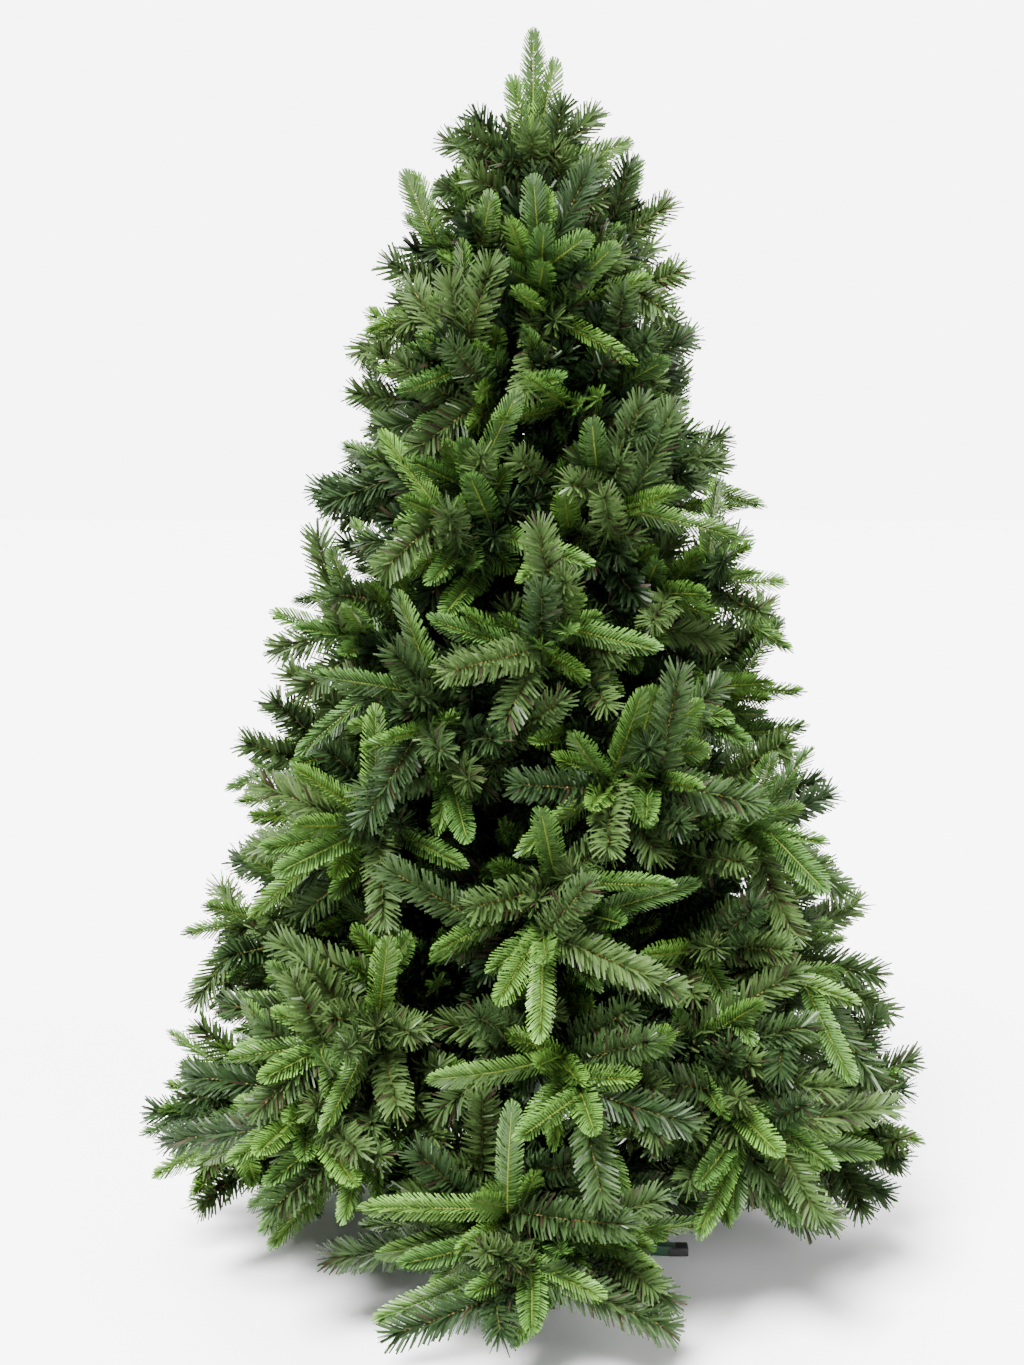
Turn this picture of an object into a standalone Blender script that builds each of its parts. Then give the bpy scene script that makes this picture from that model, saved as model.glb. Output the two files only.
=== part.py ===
"""Artificial Christmas tree, 1.8 m tall, in a four-legged steel stand.

A painted pole carries tiers of wire branches. Each branch is one node: a stem with sprays of
needles along it. Flat toothed sprays are the moulded tips, and spiny ones the cut-film tips.
The branches of the lowest tier have a bare bough between the pole and the foliage.
The origin is on the floor under the pole, +Z is up and the front of the tree faces -Y.
"""

import math
import random
from collections import namedtuple

import bmesh
import bpy
import numpy
from mathutils import Matrix, Vector

# Crown, in metres
TREE_HEIGHT = 1.80
CROWN_RADIUS = 0.595  # reach of the lowest tier
WIDEST = 0.20  # height at which it has this radius
CROWN_TAPER = 0.305  # radius lost for each metre of height
LOWEST_TIP = 0.085  # nothing hangs lower than this
TIP_HEIGHTS = (0.235, 0.43, 0.63, 0.82, 1.00, 1.175, 1.35, 1.515)  # of each tier's branches
BRANCHES = (8, 7, 6, 6, 5, 5, 4, 4)  # in each tier
TIER_PHASE = (0, 8, 2, 32, 2, 38, 50, 5)  # degrees that each tier is turned from the front
FIRST_SEED = 40

# How a tier leaves the pole: heights are relative to the tier's tips
ROOT_LIFT_LOW = 0.105  # the lowest tier hangs down from its collar
ROOT_LIFT_HIGH = -0.115  # and the highest one rises
TILT_LOW = math.radians(-16)  # of the outermost spray, from level
TILT_HIGH = math.radians(30)
SHORTEST_REACH, LONGEST_REACH = 0.96, 1.05  # of a branch, against the crown's radius at its tip
ZIGZAG_LOW, ZIGZAG_HIGH = 0.050, 0.012  # the branches of a tier are bent up and down in turn
TIP_SWAY = 0.012  # and by chance by this much
CROWN_SLACK = 0.022  # side sprays stand this much out of the crown's cone
FRONT_TIP = 0.130  # height of the lowest branch's tip at the front
BOUGH_TIERS = 1  # with bare boughs
STEM_STEPS = 3  # straight lengths in a branch's wire, of which the first is the bare bough
BEND = 0.4  # a wire turns towards its tip over this share of its length
END_ROLL = 0.8  # most that the spray at a branch's end is turned about its stem, either way

# Sprays. Their shapes are given in shares of a spray's own length.
TRIDENT_LENGTH, TRIDENT_THICKNESS = 0.190, 0.13
SINGLE_LENGTH, SINGLE_THICKNESS = 0.178, 0.10
FILM_LENGTH = 0.205
HIGH_SPRAY_SCALE = 0.78  # sprays of the top tier against the lowest
ROOT_SINK = 0.002  # a spray starts this far behind the stem's middle
FORK = 0.28  # where the prongs of a moulded spray part
SIDE_PRONG, PRONG_SPREAD = 0.62, math.radians(50)
PRONG_EDGE = ((0.50, 0.23), (0.62, 0.16))  # tooth and notch: along and across
SHANK = (0.168, 0.05)  # widening below the fork: along and across
CROTCH = 0.15  # from the fork to the notch between two prongs
PRONG_ARCH = 0.32  # how much the side prongs curl up
CORE_SIDES = 3  # of a film spray
FILM_CORE = ((0.26, 0.11), (0.66, 0.135))  # its two rings: along and across
FILM_NEEDLES = ((0.46, 0.31), (0.86, 0.25))  # needles of its middle and of its end: along and across
PROBES = {  # points in each kind of spray, from which the room round it is measured
    "trident": ((0.45, 0), (0.7, 0), (0.92, 0), (0.48, 0.24), (0.48, -0.24), (0.61, 0.4), (0.61, -0.4)),
    "single": ((0.4, 0), (0.65, 0), (0.9, 0)),
    "film": ((0.35, 0), (0.6, 0), (0.85, 0)),
}
SIDE_SPRAYS = (11, 11, 10, 9, 9, 8, 8, 8)  # on a branch of each tier, behind the one at its end
TRIES = 300  # places thought of for the side sprays of each branch
LEAST_ROOM = 0.052  # from a side spray to the nearest other one, on the lowest tier
OUTSIDE_FIRST = 0.8  # how much a place in the crown's surface is liked over one at the pole
TRIDENT_SHARE = 0.40  # of the side sprays on the outer half of a branch
LAST_SIDE_SPRAY = 0.02  # least distance of a side spray from the end of its wire
SIDE_LENGTHS = (0.62, 1.08)  # of a side spray, in lengths of its kind
SIDE_LEANS = (0.55, 1.2)  # angle between a side spray and its stem
SIDE_TURN = 0.9  # most that a side spray is turned about its own length, either way
TOP_TURN = 0.3  # the same for the sprays beside the leader
TOP_SPRAYS = (  # kind, distance below the leader's foot, roll, lean and length
    ("single", 0.010, 0.30, 0.27, 0.145),
    ("single", 0.018, 3.40, 0.25, 0.130),
    ("single", 0.026, 4.90, 0.42, 0.125),
    ("film", 0.034, 0.10, 0.80, 0.160),
    ("film", 0.042, 3.00, 0.78, 0.160),
    ("film", 0.050, 1.60, 0.95, 0.150),
    ("film", 0.058, 4.60, 0.95, 0.150),
    ("film", 0.078, 0.70, 1.15, 0.165),
    ("film", 0.086, 2.27, 1.20, 0.165),
    ("film", 0.094, 3.84, 1.15, 0.165),
    ("film", 0.102, 5.41, 1.20, 0.165),
)

# The room between masses of foliage
SPACE_MARGIN = 0.003  # each point is nearer to its own wire than to any other by this much
WIRE_MARGIN = 0.012  # between a spray and another branch's wire
POLE_MARGIN = 0.030  # radius round the pole that is kept clear
STAND_MARGIN = 0.125  # height kept clear above the stand
ROUNDING = 1e-6

# Wire and pole
STEM_RADIUS, STEM_TIP_RADIUS = 0.0056, 0.0040
HEEL = 0.008  # a wire leaves the pole level for this far
BOUGH_RADIUS, BOUGH_TIP_RADIUS = 0.0056, 0.0044
BOUGH_END = 0.012  # a bare bough ends this far past its corner
CLEARANCE = 0.0003  # between pieces that touch in the real tree
TOP_STEM_END = 0.01  # the stem of the top goes this far into the leader
POLE_FOOT, POLE_TOP = 0.0535, 1.470
POLE_SECTIONS = ((0.0140, 0.560), (0.0125, 1.060), (0.0100, POLE_TOP))  # radius, top height
POLE_SIDES = 16
COLLAR_RADIUS, COLLAR_HEIGHT = 0.0230, 0.022  # on the tiers that have bare boughs
COLLAR_SLOPE = 0.004  # height over which a collar narrows to the pole

# Stand
SOCKET_RADIUS, SOCKET_BORE = 0.0185, 0.0152
SOCKET_FOOT, SOCKET_TOP, SOCKET_FLOOR = 0.050, 0.175, 0.0032
SOCKET_SIDES = 12
LEGS = 4
LEG_REACH, LEG_WIDTH = 0.235, 0.024
LEG_HEIGHT_IN, LEG_HEIGHT_OUT = 0.042, 0.016
LEG_TOP_IN = 0.100
LEG_STEPS = 4  # straight lengths in the arch of a leg
LEG_CURVE = 1.6  # 1 would make the arch straight
FOOT_LENGTH, TOE_HEIGHT = 0.034, 0.0112

TIERS = len(TIP_HEIGHTS)
LENGTHS = {"trident": TRIDENT_LENGTH, "single": SINGLE_LENGTH, "film": FILM_LENGTH}

Branch = namedtuple("Branch", "name tier azimuth root line tip seed scale")
Spray = namedtuple("Spray", "kind root along across length")


def share(tier):
    """0 at the lowest tier and 1 at the highest."""
    return tier / (TIERS - 1)


def mix(low, high, part):
    return low + (high - low) * part


def outward(azimuth):
    """Level unit vector at this azimuth, which is 0 at the front and turns to the tree's +X side."""
    return Vector((math.sin(azimuth), -math.cos(azimuth), 0))


def root_height(tier):
    return TIP_HEIGHTS[tier] + mix(ROOT_LIFT_LOW, ROOT_LIFT_HIGH, share(tier))


def pole_radius(tier):
    """What the wires of a tier leave: a collar on the lowest tiers, the bare pole above."""
    if tier < BOUGH_TIERS:
        return COLLAR_RADIUS
    return next(radius for radius, top in POLE_SECTIONS if root_height(tier) < top)


def crown_radius(height):
    return CROWN_RADIUS - CROWN_TAPER * (height - WIDEST)


def branches():
    """Every branch of the tiers, from the lowest tier up."""
    made = []
    for tier in range(TIERS):
        count = BRANCHES[tier]
        tilt = mix(TILT_LOW, TILT_HIGH, share(tier))
        scale = mix(1, HIGH_SPRAY_SCALE, share(tier))
        for index in range(count):
            seed = FIRST_SEED + 100 * tier + index
            rng = random.Random(seed)
            azimuth = math.radians(TIER_PHASE[tier]) + 2 * math.pi * index / count
            stretch = rng.uniform(SHORTEST_REACH, LONGEST_REACH)
            bend = mix(ZIGZAG_LOW, ZIGZAG_HIGH, share(tier)) * (1 if index % 2 else -1)
            height = TIP_HEIGHTS[tier] + bend + rng.uniform(-TIP_SWAY, TIP_SWAY)
            if tier == index == 0:
                height = FRONT_TIP
            if tier == 0 and index % 2 == 0:
                stretch = CROWN_RADIUS / crown_radius(height)  # these four set the crown's width
            out = outward(azimuth)
            tip = out * crown_radius(height) * stretch + Vector((0, 0, height))
            lean = out * math.cos(tilt) + Vector((0, 0, math.sin(tilt)))
            root = out * (pole_radius(tier) + CLEARANCE) + Vector((0, 0, root_height(tier)))
            end = tip - lean * TRIDENT_LENGTH * scale
            name = f"tier_{tier + 1}_foliage_{index + 1}"
            line = wire_line(root, end, tip, azimuth)
            made.append(Branch(name, tier, azimuth, root, line, tip, seed, scale))
    return made


def wire_line(root, end, tip, azimuth):
    """The corners of a branch's wire, from its level heel at the pole to its last spray."""
    lean = (tip - end).normalized()
    heel = root + outward(azimuth) * HEEL
    bend = end - lean * (end - heel).length * BEND
    steps = [n / STEM_STEPS for n in range(STEM_STEPS + 1)]
    return [heel.lerp(bend, s).lerp(bend.lerp(end, s), s) for s in steps]


def stem_place(branch, s):
    """The point and direction of a branch's wire at s, from 0 at its heel to 1 at its last spray."""
    step = min(int(s * STEM_STEPS), STEM_STEPS - 1)
    before, after = branch.line[step], branch.line[step + 1]
    return before.lerp(after, s * STEM_STEPS - step), (after - before).normalized()


def aimed(kind, root, along, roll, lean, length, flat):
    """A spray that leaves a stem at an angle, towards the side that roll says."""
    upright = math.hypot(along.x, along.y) < ROUNDING
    level = Vector((1, 0, 0)) if upright else along.cross(Vector((0, 0, 1))).normalized()
    up = level.cross(along).normalized()
    side = level * math.cos(roll) + up * math.sin(roll)
    direction = along * math.cos(lean) + side * math.sin(lean)
    across = direction.cross(up).normalized()
    across = Matrix.Rotation(flat, 3, direction) @ across
    return Spray(kind, root, direction, across, length)


class Crown:
    """All the sprays of the tree, chosen so that they fill it evenly and never meet another mass."""

    def __init__(self, shapes):
        self.shapes, self.probes = {}, {}
        for kind, mesh in shapes.items():
            corners = [vert.co for vert in mesh.vertices]
            edges = [edge.vertices for edge in mesh.edges]
            middles = [(corners[first] + corners[second]) / 2 for first, second in edges]
            self.shapes[kind] = numpy.array([(*co, 1) for co in corners + middles])
            self.probes[kind] = numpy.array([(x, y, 0, 1) for x, y in PROBES[kind]])
        self.branches = branches()
        self.chosen = {branch.name: [] for branch in self.branches}
        self.chosen["top_foliage"] = []
        ends, owners = [], []
        for owner, branch in enumerate(self.branches):
            line = [branch.root, *branch.line, branch.tip]
            ends += list(zip(line, line[1:]))
            owners += [owner] * (len(line) - 1)
        twigs = [(spray.root, spray.root + spray.along * spray.length) for spray in top_sprays()]
        ends += [(Vector((0, 0, POLE_TOP)), Vector((0, 0, TREE_HEIGHT))), *twigs]
        owners += [len(self.branches)] * (len(twigs) + 1)
        self.starts = numpy.array([start for start, end in ends])
        self.runs = numpy.array([end - start for start, end in ends])
        self.owners = numpy.array(owners)
        self.filled = numpy.empty((0, 3))

    def fits(self, spray, owner):
        """Whether a spray keeps to the space that is nearer to its own wire than to any other."""
        points = (self.shapes[spray.kind] @ numpy.array(placed(spray)).T)[:, :3]
        radius = numpy.hypot(points[:, 0], points[:, 1])
        height = points[:, 2]
        over_stand = radius < LEG_REACH + POLE_MARGIN
        if height.min() < LOWEST_TIP or numpy.any(over_stand & (height < STAND_MARGIN)):
            return False
        if numpy.any((radius < POLE_MARGIN) & (height < POLE_TOP)):
            return False
        widest = numpy.minimum(CROWN_RADIUS, crown_radius(height) + CROWN_SLACK)
        if numpy.any(radius > widest + ROUNDING):
            return False
        from_start = points[:, None] - self.starts
        share_along = numpy.clip((from_start * self.runs).sum(2) / (self.runs ** 2).sum(1), 0, 1)
        gap = numpy.linalg.norm(from_start - share_along[..., None] * self.runs, axis=2)
        own = gap[:, self.owners == owner].min(1)
        other = gap[:, self.owners != owner].min(1)
        return bool(numpy.all(own + SPACE_MARGIN < other) and other.min() > WIRE_MARGIN)

    def keep(self, name, spray):
        self.chosen[name].append(spray)
        self.filled = numpy.vstack((self.filled, self.middles(spray)))

    def middles(self, spray):
        return (self.probes[spray.kind] @ numpy.array(placed(spray)).T)[:, :3]

    def room(self, spray):
        """Distance from a spray to the nearest of those already chosen."""
        return numpy.linalg.norm(self.middles(spray)[:, None] - self.filled, axis=2).min()

    def grow(self):
        """Choose the sprays: the ends of the branches first, then round after round of side sprays."""
        for spray in top_sprays():
            if self.fits(spray, len(self.branches)):
                self.keep("top_foliage", spray)
        places = []
        for owner, branch in enumerate(self.branches):
            rng = random.Random(branch.seed)
            self.keep(branch.name, end_spray(branch, rng))
            tries = [side_spray(branch, rng) for _ in range(TRIES)]
            places.append([spray for spray in tries if self.fits(spray, owner)])
        for count in range(max(SIDE_SPRAYS)):
            for branch, left in zip(self.branches, places):
                left[:] = [spray for spray in left if self.room(spray) > LEAST_ROOM * branch.scale]
                if left and count < SIDE_SPRAYS[branch.tier]:
                    self.keep(branch.name, max(left, key=self.liking))
        return self.chosen

    def liking(self, spray):
        end = spray.root + spray.along * spray.length
        outside = math.hypot(end.x, end.y) / crown_radius(end.z)
        return self.room(spray) * spray.length * mix(1, outside, OUTSIDE_FIRST)


def end_spray(branch, rng):
    """The trident at the end of a branch."""
    end = branch.line[-1]
    along = (branch.tip - end).normalized()
    level = outward(branch.azimuth).cross(Vector((0, 0, 1)))
    across = Matrix.Rotation(rng.uniform(-END_ROLL, END_ROLL), 3, along) @ level
    return Spray("trident", end, along, across, (branch.tip - end).length)


def side_spray(branch, rng):
    """One place that a spray could have along a branch."""
    span = (branch.line[-1] - branch.line[0]).length
    bare = span / STEM_STEPS + 2 * BOUGH_END if branch.tier < BOUGH_TIERS else POLE_MARGIN / 2
    back = rng.uniform(LAST_SIDE_SPRAY, span - bare)
    kind = "trident" if back < span / 2 and rng.random() < TRIDENT_SHARE else "film"
    place, along = stem_place(branch, 1 - back / span)
    length = LENGTHS[kind] * branch.scale * rng.uniform(*SIDE_LENGTHS)
    roll, lean = rng.uniform(0, 2 * math.pi), rng.uniform(*SIDE_LEANS)
    return aimed(kind, place, along, roll, lean, length, rng.uniform(-SIDE_TURN, SIDE_TURN))


def top_sprays():
    """The leader at the very top, the short sprays beside it and the rings below."""
    up = Vector((0, 0, 1))
    leader_foot = Vector((0, 0, TREE_HEIGHT - SINGLE_LENGTH))
    found = [Spray("single", leader_foot, up, Vector((1, 0, 0)), SINGLE_LENGTH)]
    for kind, below, roll, lean, length in TOP_SPRAYS:
        found.append(aimed(kind, leader_foot - up * below, up, roll, lean, length, TOP_TURN))
    return found


def material(name, colour, roughness, metallic=0.0):
    made = bpy.data.materials.new(name)
    made.use_nodes = True
    shader = made.node_tree.nodes["Principled BSDF"]
    shader.inputs["Base Color"].default_value = (*colour, 1)
    shader.inputs["Roughness"].default_value = roughness
    shader.inputs["Metallic"].default_value = metallic
    return made


def mesh_object(name, bm, collection, finish=None):
    mesh = bpy.data.meshes.new(name)
    bm.to_mesh(mesh)
    bm.free()
    made = bpy.data.objects.new(name, mesh)
    collection.objects.link(made)
    if finish:
        mesh.materials.append(finish)
    return made


def moulded_outline(prongs):
    """The edge of a flat spray, from its root round its prongs and back. Each is (angle, length)."""
    fork = Vector((FORK, 0, 0))
    along_shank, across_shank = SHANK
    edge = [Vector((0, 0, 0)), Vector((along_shank, across_shank, 0))]
    for number, (angle, length) in enumerate(prongs):
        along = Vector((math.cos(angle), math.sin(angle), 0)) * length
        across = Vector((along.y, -along.x, 0))
        left = [fork + along * u - across * v for u, v in PRONG_EDGE]
        right = [fork + along * u + across * v for u, v in reversed(PRONG_EDGE)]
        if number:
            between = (angle + prongs[number - 1][0]) / 2
            edge.append(fork + Vector((math.cos(between), math.sin(between), 0)) * CROTCH)
        edge += [*left, fork + along, *right]
    edge.append(Vector((along_shank, -across_shank, 0)))
    return [Vector((place.x, place.y, PRONG_ARCH * place.y ** 2)) for place in edge]


def moulded_shape(prongs, thickness):
    """A flat spray of length 1: a sphere of two caps, its rim drawn out into toothed prongs."""
    outline = moulded_outline(prongs)
    bm = bmesh.new()
    bmesh.ops.create_uvsphere(bm, u_segments=len(outline), v_segments=2, radius=1)
    rim = sorted((v for v in bm.verts if abs(v.co.z) < 0.5), key=lambda v: -math.atan2(v.co.y, v.co.x))
    for vert in bm.verts:
        if abs(vert.co.z) > 0.5:
            vert.co = Vector((FORK, 0, math.copysign(thickness / 2, vert.co.z)))
    for vert, place in zip(rim, outline):
        vert.co = place
    bmesh.ops.recalc_face_normals(bm, faces=bm.faces)
    return bm


def film_shape():
    """A spiny spray of length 1: a slim core, each of whose outer faces is drawn out to a needle."""
    bm = bmesh.new()
    bmesh.ops.create_uvsphere(bm, u_segments=CORE_SIDES, v_segments=3, radius=1)
    root, *rings, tip = sorted(bm.verts, key=lambda vert: vert.co.z)
    root.co, tip.co = Vector((0, 0, 0)), Vector((1, 0, 0))
    for number, (x, radius) in enumerate(FILM_CORE):
        ring = rings[number * CORE_SIDES:(number + 1) * CORE_SIDES]
        ring.sort(key=lambda vert: math.atan2(vert.co.y, vert.co.x))
        for step, vert in enumerate(ring):
            turn = (step + number / 2) * 2 * math.pi / CORE_SIDES
            vert.co = Vector((x, radius * math.cos(turn), radius * math.sin(turn)))
    for face in [face for face in bm.faces if root not in face.verts]:
        x, radius = FILM_NEEDLES[tip in face.verts]
        needle = bmesh.ops.poke(bm, faces=[face])["verts"][0]
        across = Vector((0, needle.co.y, needle.co.z)).normalized()
        needle.co = Vector((x, 0, 0)) + across * radius
    bmesh.ops.recalc_face_normals(bm, faces=bm.faces)
    return bm


def placed(spray):
    """The matrix that puts a spray's shape in place."""
    across = (spray.across - spray.along * spray.across.dot(spray.along)).normalized()
    frame = Matrix((spray.along, across, spray.along.cross(across))).transposed().to_4x4()
    size = Matrix.Scale(spray.length + ROOT_SINK, 4)
    return Matrix.Translation(spray.root - spray.along * ROOT_SINK) @ frame @ size


def wire(name, points, radii, collection, finish=None):
    """A tapered wire through these points, as a curve."""
    curve = bpy.data.curves.new(name, "CURVE")
    curve.dimensions = "3D"
    curve.bevel_depth = 1
    curve.bevel_resolution = 0
    curve.use_fill_caps = True
    spline = curve.splines.new("POLY")
    spline.points.add(len(points) - 1)
    for place, point, radius in zip(spline.points, points, radii):
        place.co = (*point, 1)
        place.radius = radius
    made = bpy.data.objects.new(name, curve)
    collection.objects.link(made)
    if finish:
        curve.materials.append(finish)
    return made


def as_mesh(curve_object):
    """A mesh object in place of a curve, with its caps welded."""
    bpy.context.view_layer.update()
    evaluated = curve_object.evaluated_get(bpy.context.evaluated_depsgraph_get())
    mesh = bpy.data.meshes.new_from_object(evaluated)
    bm = bmesh.new()
    bm.from_mesh(mesh)
    bmesh.ops.remove_doubles(bm, verts=bm.verts, dist=ROUNDING)
    bmesh.ops.recalc_face_normals(bm, faces=bm.faces)
    bm.to_mesh(mesh)
    bm.free()
    made = bpy.data.objects.new(curve_object.name + "_mesh", mesh)
    made.matrix_world = curve_object.matrix_world
    for collection in curve_object.users_collection:
        collection.objects.link(made)
    bpy.data.objects.remove(curve_object)
    return made


def keep_largest_piece(mesh):
    """Fill hollows that the sprays have sealed between them, and drop scraps that came loose."""
    bm = bmesh.new()
    bm.from_mesh(mesh)
    bmesh.ops.remove_doubles(bm, verts=bm.verts, dist=ROUNDING)
    left = set(bm.verts)
    pieces = []
    while left:
        piece, edge_of_search = set(), [left.pop()]
        while edge_of_search:
            vert = edge_of_search.pop()
            piece.add(vert)
            near = [edge.other_vert(vert) for edge in vert.link_edges]
            edge_of_search += [other for other in near if other in left]
            left.difference_update(near)
        pieces.append(piece)
    largest = max(pieces, key=len)
    bmesh.ops.delete(bm, geom=[v for v in bm.verts if v not in largest], context="VERTS")
    bm.to_mesh(mesh)
    bm.free()


def fuse(name, stem, sprays, shapes, collection, finish):
    """One mass of foliage: its sprays joined to its stem."""
    loose = bpy.data.collections.new(name + "_sprays")
    bpy.context.scene.collection.children.link(loose)
    for spray in sprays:
        part = bpy.data.objects.new(name + "_spray", shapes[spray.kind])
        part.matrix_world = placed(spray)
        loose.objects.link(part)
    union = stem.modifiers.new("join", "BOOLEAN")
    union.operation = "UNION"
    union.operand_type = "COLLECTION"
    union.collection = loose
    union.solver = "EXACT"
    bpy.context.view_layer.update()
    joined = bpy.data.meshes.new_from_object(stem.evaluated_get(bpy.context.evaluated_depsgraph_get()))
    keep_largest_piece(joined)
    made = bpy.data.objects.new(name, joined)
    collection.objects.link(made)
    joined.materials.clear()
    joined.materials.append(finish)
    for part in [*loose.objects, stem]:
        bpy.data.objects.remove(part)
    bpy.data.collections.remove(loose)
    return made


def tapering(thick, thin, count):
    return [mix(thick, thin, n / (count - 1)) for n in range(count)]


def build_branch(branch, sprays, shapes, collection, finishes):
    """The foliage of one branch and, on the lowest tier, the bare bough that carries it."""
    points = [branch.root, *branch.line]
    if branch.tier < BOUGH_TIERS:
        along = (points[3] - points[2]).normalized()
        bough_end = points[2] + along * BOUGH_END
        bough = [*points[:3], bough_end]
        radii = tapering(BOUGH_RADIUS, BOUGH_TIP_RADIUS, len(bough))
        wire(branch.name.replace("foliage", "bough"), bough, radii, collection, finishes["wire"])
        points = [bough_end + along * CLEARANCE, *points[3:]]
    radii = tapering(STEM_RADIUS, STEM_TIP_RADIUS, len(points))
    stem = as_mesh(wire(branch.name + "_stem", points, radii, collection))
    return fuse(branch.name, stem, sprays, shapes, collection, finishes["needles"])


def build_top(sprays, shapes, collection, finishes):
    base = Vector((0, 0, POLE_TOP + CLEARANCE))
    points = [base, Vector((0, 0, TREE_HEIGHT - SINGLE_LENGTH + TOP_STEM_END))]
    stem = as_mesh(wire("top_stem", points, [STEM_RADIUS, STEM_TIP_RADIUS], collection))
    return fuse("top_foliage", stem, sprays, shapes, collection, finishes["needles"])


def turned(name, profile, sides, collection, finish):
    """A turned solid from its profile, given as (radius, height) from the top down the outside."""
    bm = bmesh.new()
    verts = [bm.verts.new((radius, 0, height)) for radius, height in profile]
    for first, second in zip(verts, verts[1:]):
        bm.edges.new((first, second))
    made = mesh_object(name, bm, collection, finish)
    screw = made.modifiers.new("turn", "SCREW")
    screw.steps = screw.render_steps = sides
    screw.use_merge_vertices = True
    screw.merge_threshold = 0.0001
    return made


def build_pole(collection, finish):
    """The pole, in three sections, with a collar for the wires of each tier."""
    steps = []
    foot = POLE_FOOT
    for radius, top in POLE_SECTIONS:
        steps += [(radius, foot), (radius, top)]
        foot = top
    for tier in range(BOUGH_TIERS):
        middle = root_height(tier)
        radius = POLE_SECTIONS[0][0]
        low, high = middle - COLLAR_HEIGHT / 2, middle + COLLAR_HEIGHT / 2
        steps += [(radius, low - COLLAR_SLOPE), (COLLAR_RADIUS, low)]
        steps += [(COLLAR_RADIUS, high), (radius, high + COLLAR_SLOPE)]
    steps.sort(key=lambda step: (-step[1], step[0]))
    profile = [(0, POLE_TOP), *steps, (0, POLE_FOOT)]
    return turned("pole", profile, POLE_SIDES, collection, finish)


def build_socket(collection, finish):
    floor = SOCKET_FOOT + SOCKET_FLOOR
    outside = [(SOCKET_BORE, SOCKET_TOP), (SOCKET_RADIUS, SOCKET_TOP), (SOCKET_RADIUS, SOCKET_FOOT)]
    inside = [(0, SOCKET_FOOT), (0, floor), (SOCKET_BORE, floor), (SOCKET_BORE, SOCKET_TOP)]
    return turned("stand_socket", outside + inside, SOCKET_SIDES, collection, finish)


def build_leg(index, collection, finish):
    """One arched leg of the stand, a side outline given its width, with a flat foot."""
    near = SOCKET_RADIUS + CLEARANCE
    rise = LEG_TOP_IN - LEG_HEIGHT_IN
    knee = LEG_REACH - FOOT_LENGTH
    under, over = [], []
    for n in range(LEG_STEPS + 1):
        part = n / LEG_STEPS
        x = mix(near, knee, part)
        drop = 1 - (1 - part) ** LEG_CURVE
        under.append((x, rise * (1 - drop)))
        over.append((x, mix(LEG_TOP_IN, LEG_HEIGHT_OUT, drop)))
    outline = [*under, (LEG_REACH, 0), (LEG_REACH, TOE_HEIGHT), *reversed(over)]
    curve = bpy.data.curves.new(f"stand_leg_{index + 1}", "CURVE")
    curve.dimensions = "2D"
    curve.fill_mode = "BOTH"
    curve.extrude = LEG_WIDTH / 2
    spline = curve.splines.new("POLY")
    spline.points.add(len(outline) - 1)
    spline.use_cyclic_u = True
    for point, (x, z) in zip(spline.points, outline):
        point.co = (x, z, 0, 1)
    curve.materials.append(finish)
    made = bpy.data.objects.new(curve.name, curve)
    turn = 2 * math.pi * index / LEGS
    made.rotation_euler = (math.pi / 2, 0, turn)
    collection.objects.link(made)
    return made


def clear_scene():
    for obj in list(bpy.data.objects):
        bpy.data.objects.remove(obj)


def main():
    clear_scene()
    tree = bpy.data.collections.new("christmas_tree")
    bpy.context.scene.collection.children.link(tree)
    finishes = {
        "needles": material("needle_green", (0.10, 0.23, 0.06), 0.55),
        "wire": material("branch_wire", (0.05, 0.045, 0.03), 0.6),
        "steel": material("green_steel", (0.02, 0.06, 0.035), 0.4, 0.3),
    }
    side_prongs = ((PRONG_SPREAD, SIDE_PRONG), (-PRONG_SPREAD, SIDE_PRONG))
    solids = {
        "trident": moulded_shape((side_prongs[0], (0, 1 - FORK), side_prongs[1]), TRIDENT_THICKNESS),
        "single": moulded_shape(((0, 1 - FORK),), SINGLE_THICKNESS),
        "film": film_shape(),
    }
    shapes = {}
    for kind, bm in solids.items():
        shapes[kind] = bpy.data.meshes.new(kind + "_spray")
        bm.to_mesh(shapes[kind])
        bm.free()
    build_pole(tree, finishes["steel"])
    build_socket(tree, finishes["steel"])
    for index in range(LEGS):
        build_leg(index, tree, finishes["steel"])
    crown = Crown(shapes)
    chosen = crown.grow()
    for branch in crown.branches:
        build_branch(branch, chosen[branch.name], shapes, tree, finishes)
    build_top(chosen["top_foliage"], shapes, tree, finishes)


main()
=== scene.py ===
"""Artificial Christmas tree with its stand, dressed over its solids.

The tree's growth rule is the one that its solids follow. It is carried on here from the sprays of
the solids to single tips: moulded ones with flat blunt needles, and film ones whose cut strips stand
out all round a twisted wire. The pole, its hubs, the branch wires and the stand are made beside them.
"""

import functools
import math
import random
from collections import namedtuple

import bmesh
import bpy
import numpy
from bpy.props import FloatProperty, FloatVectorProperty, PointerProperty
from mathutils import Matrix, Vector


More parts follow.
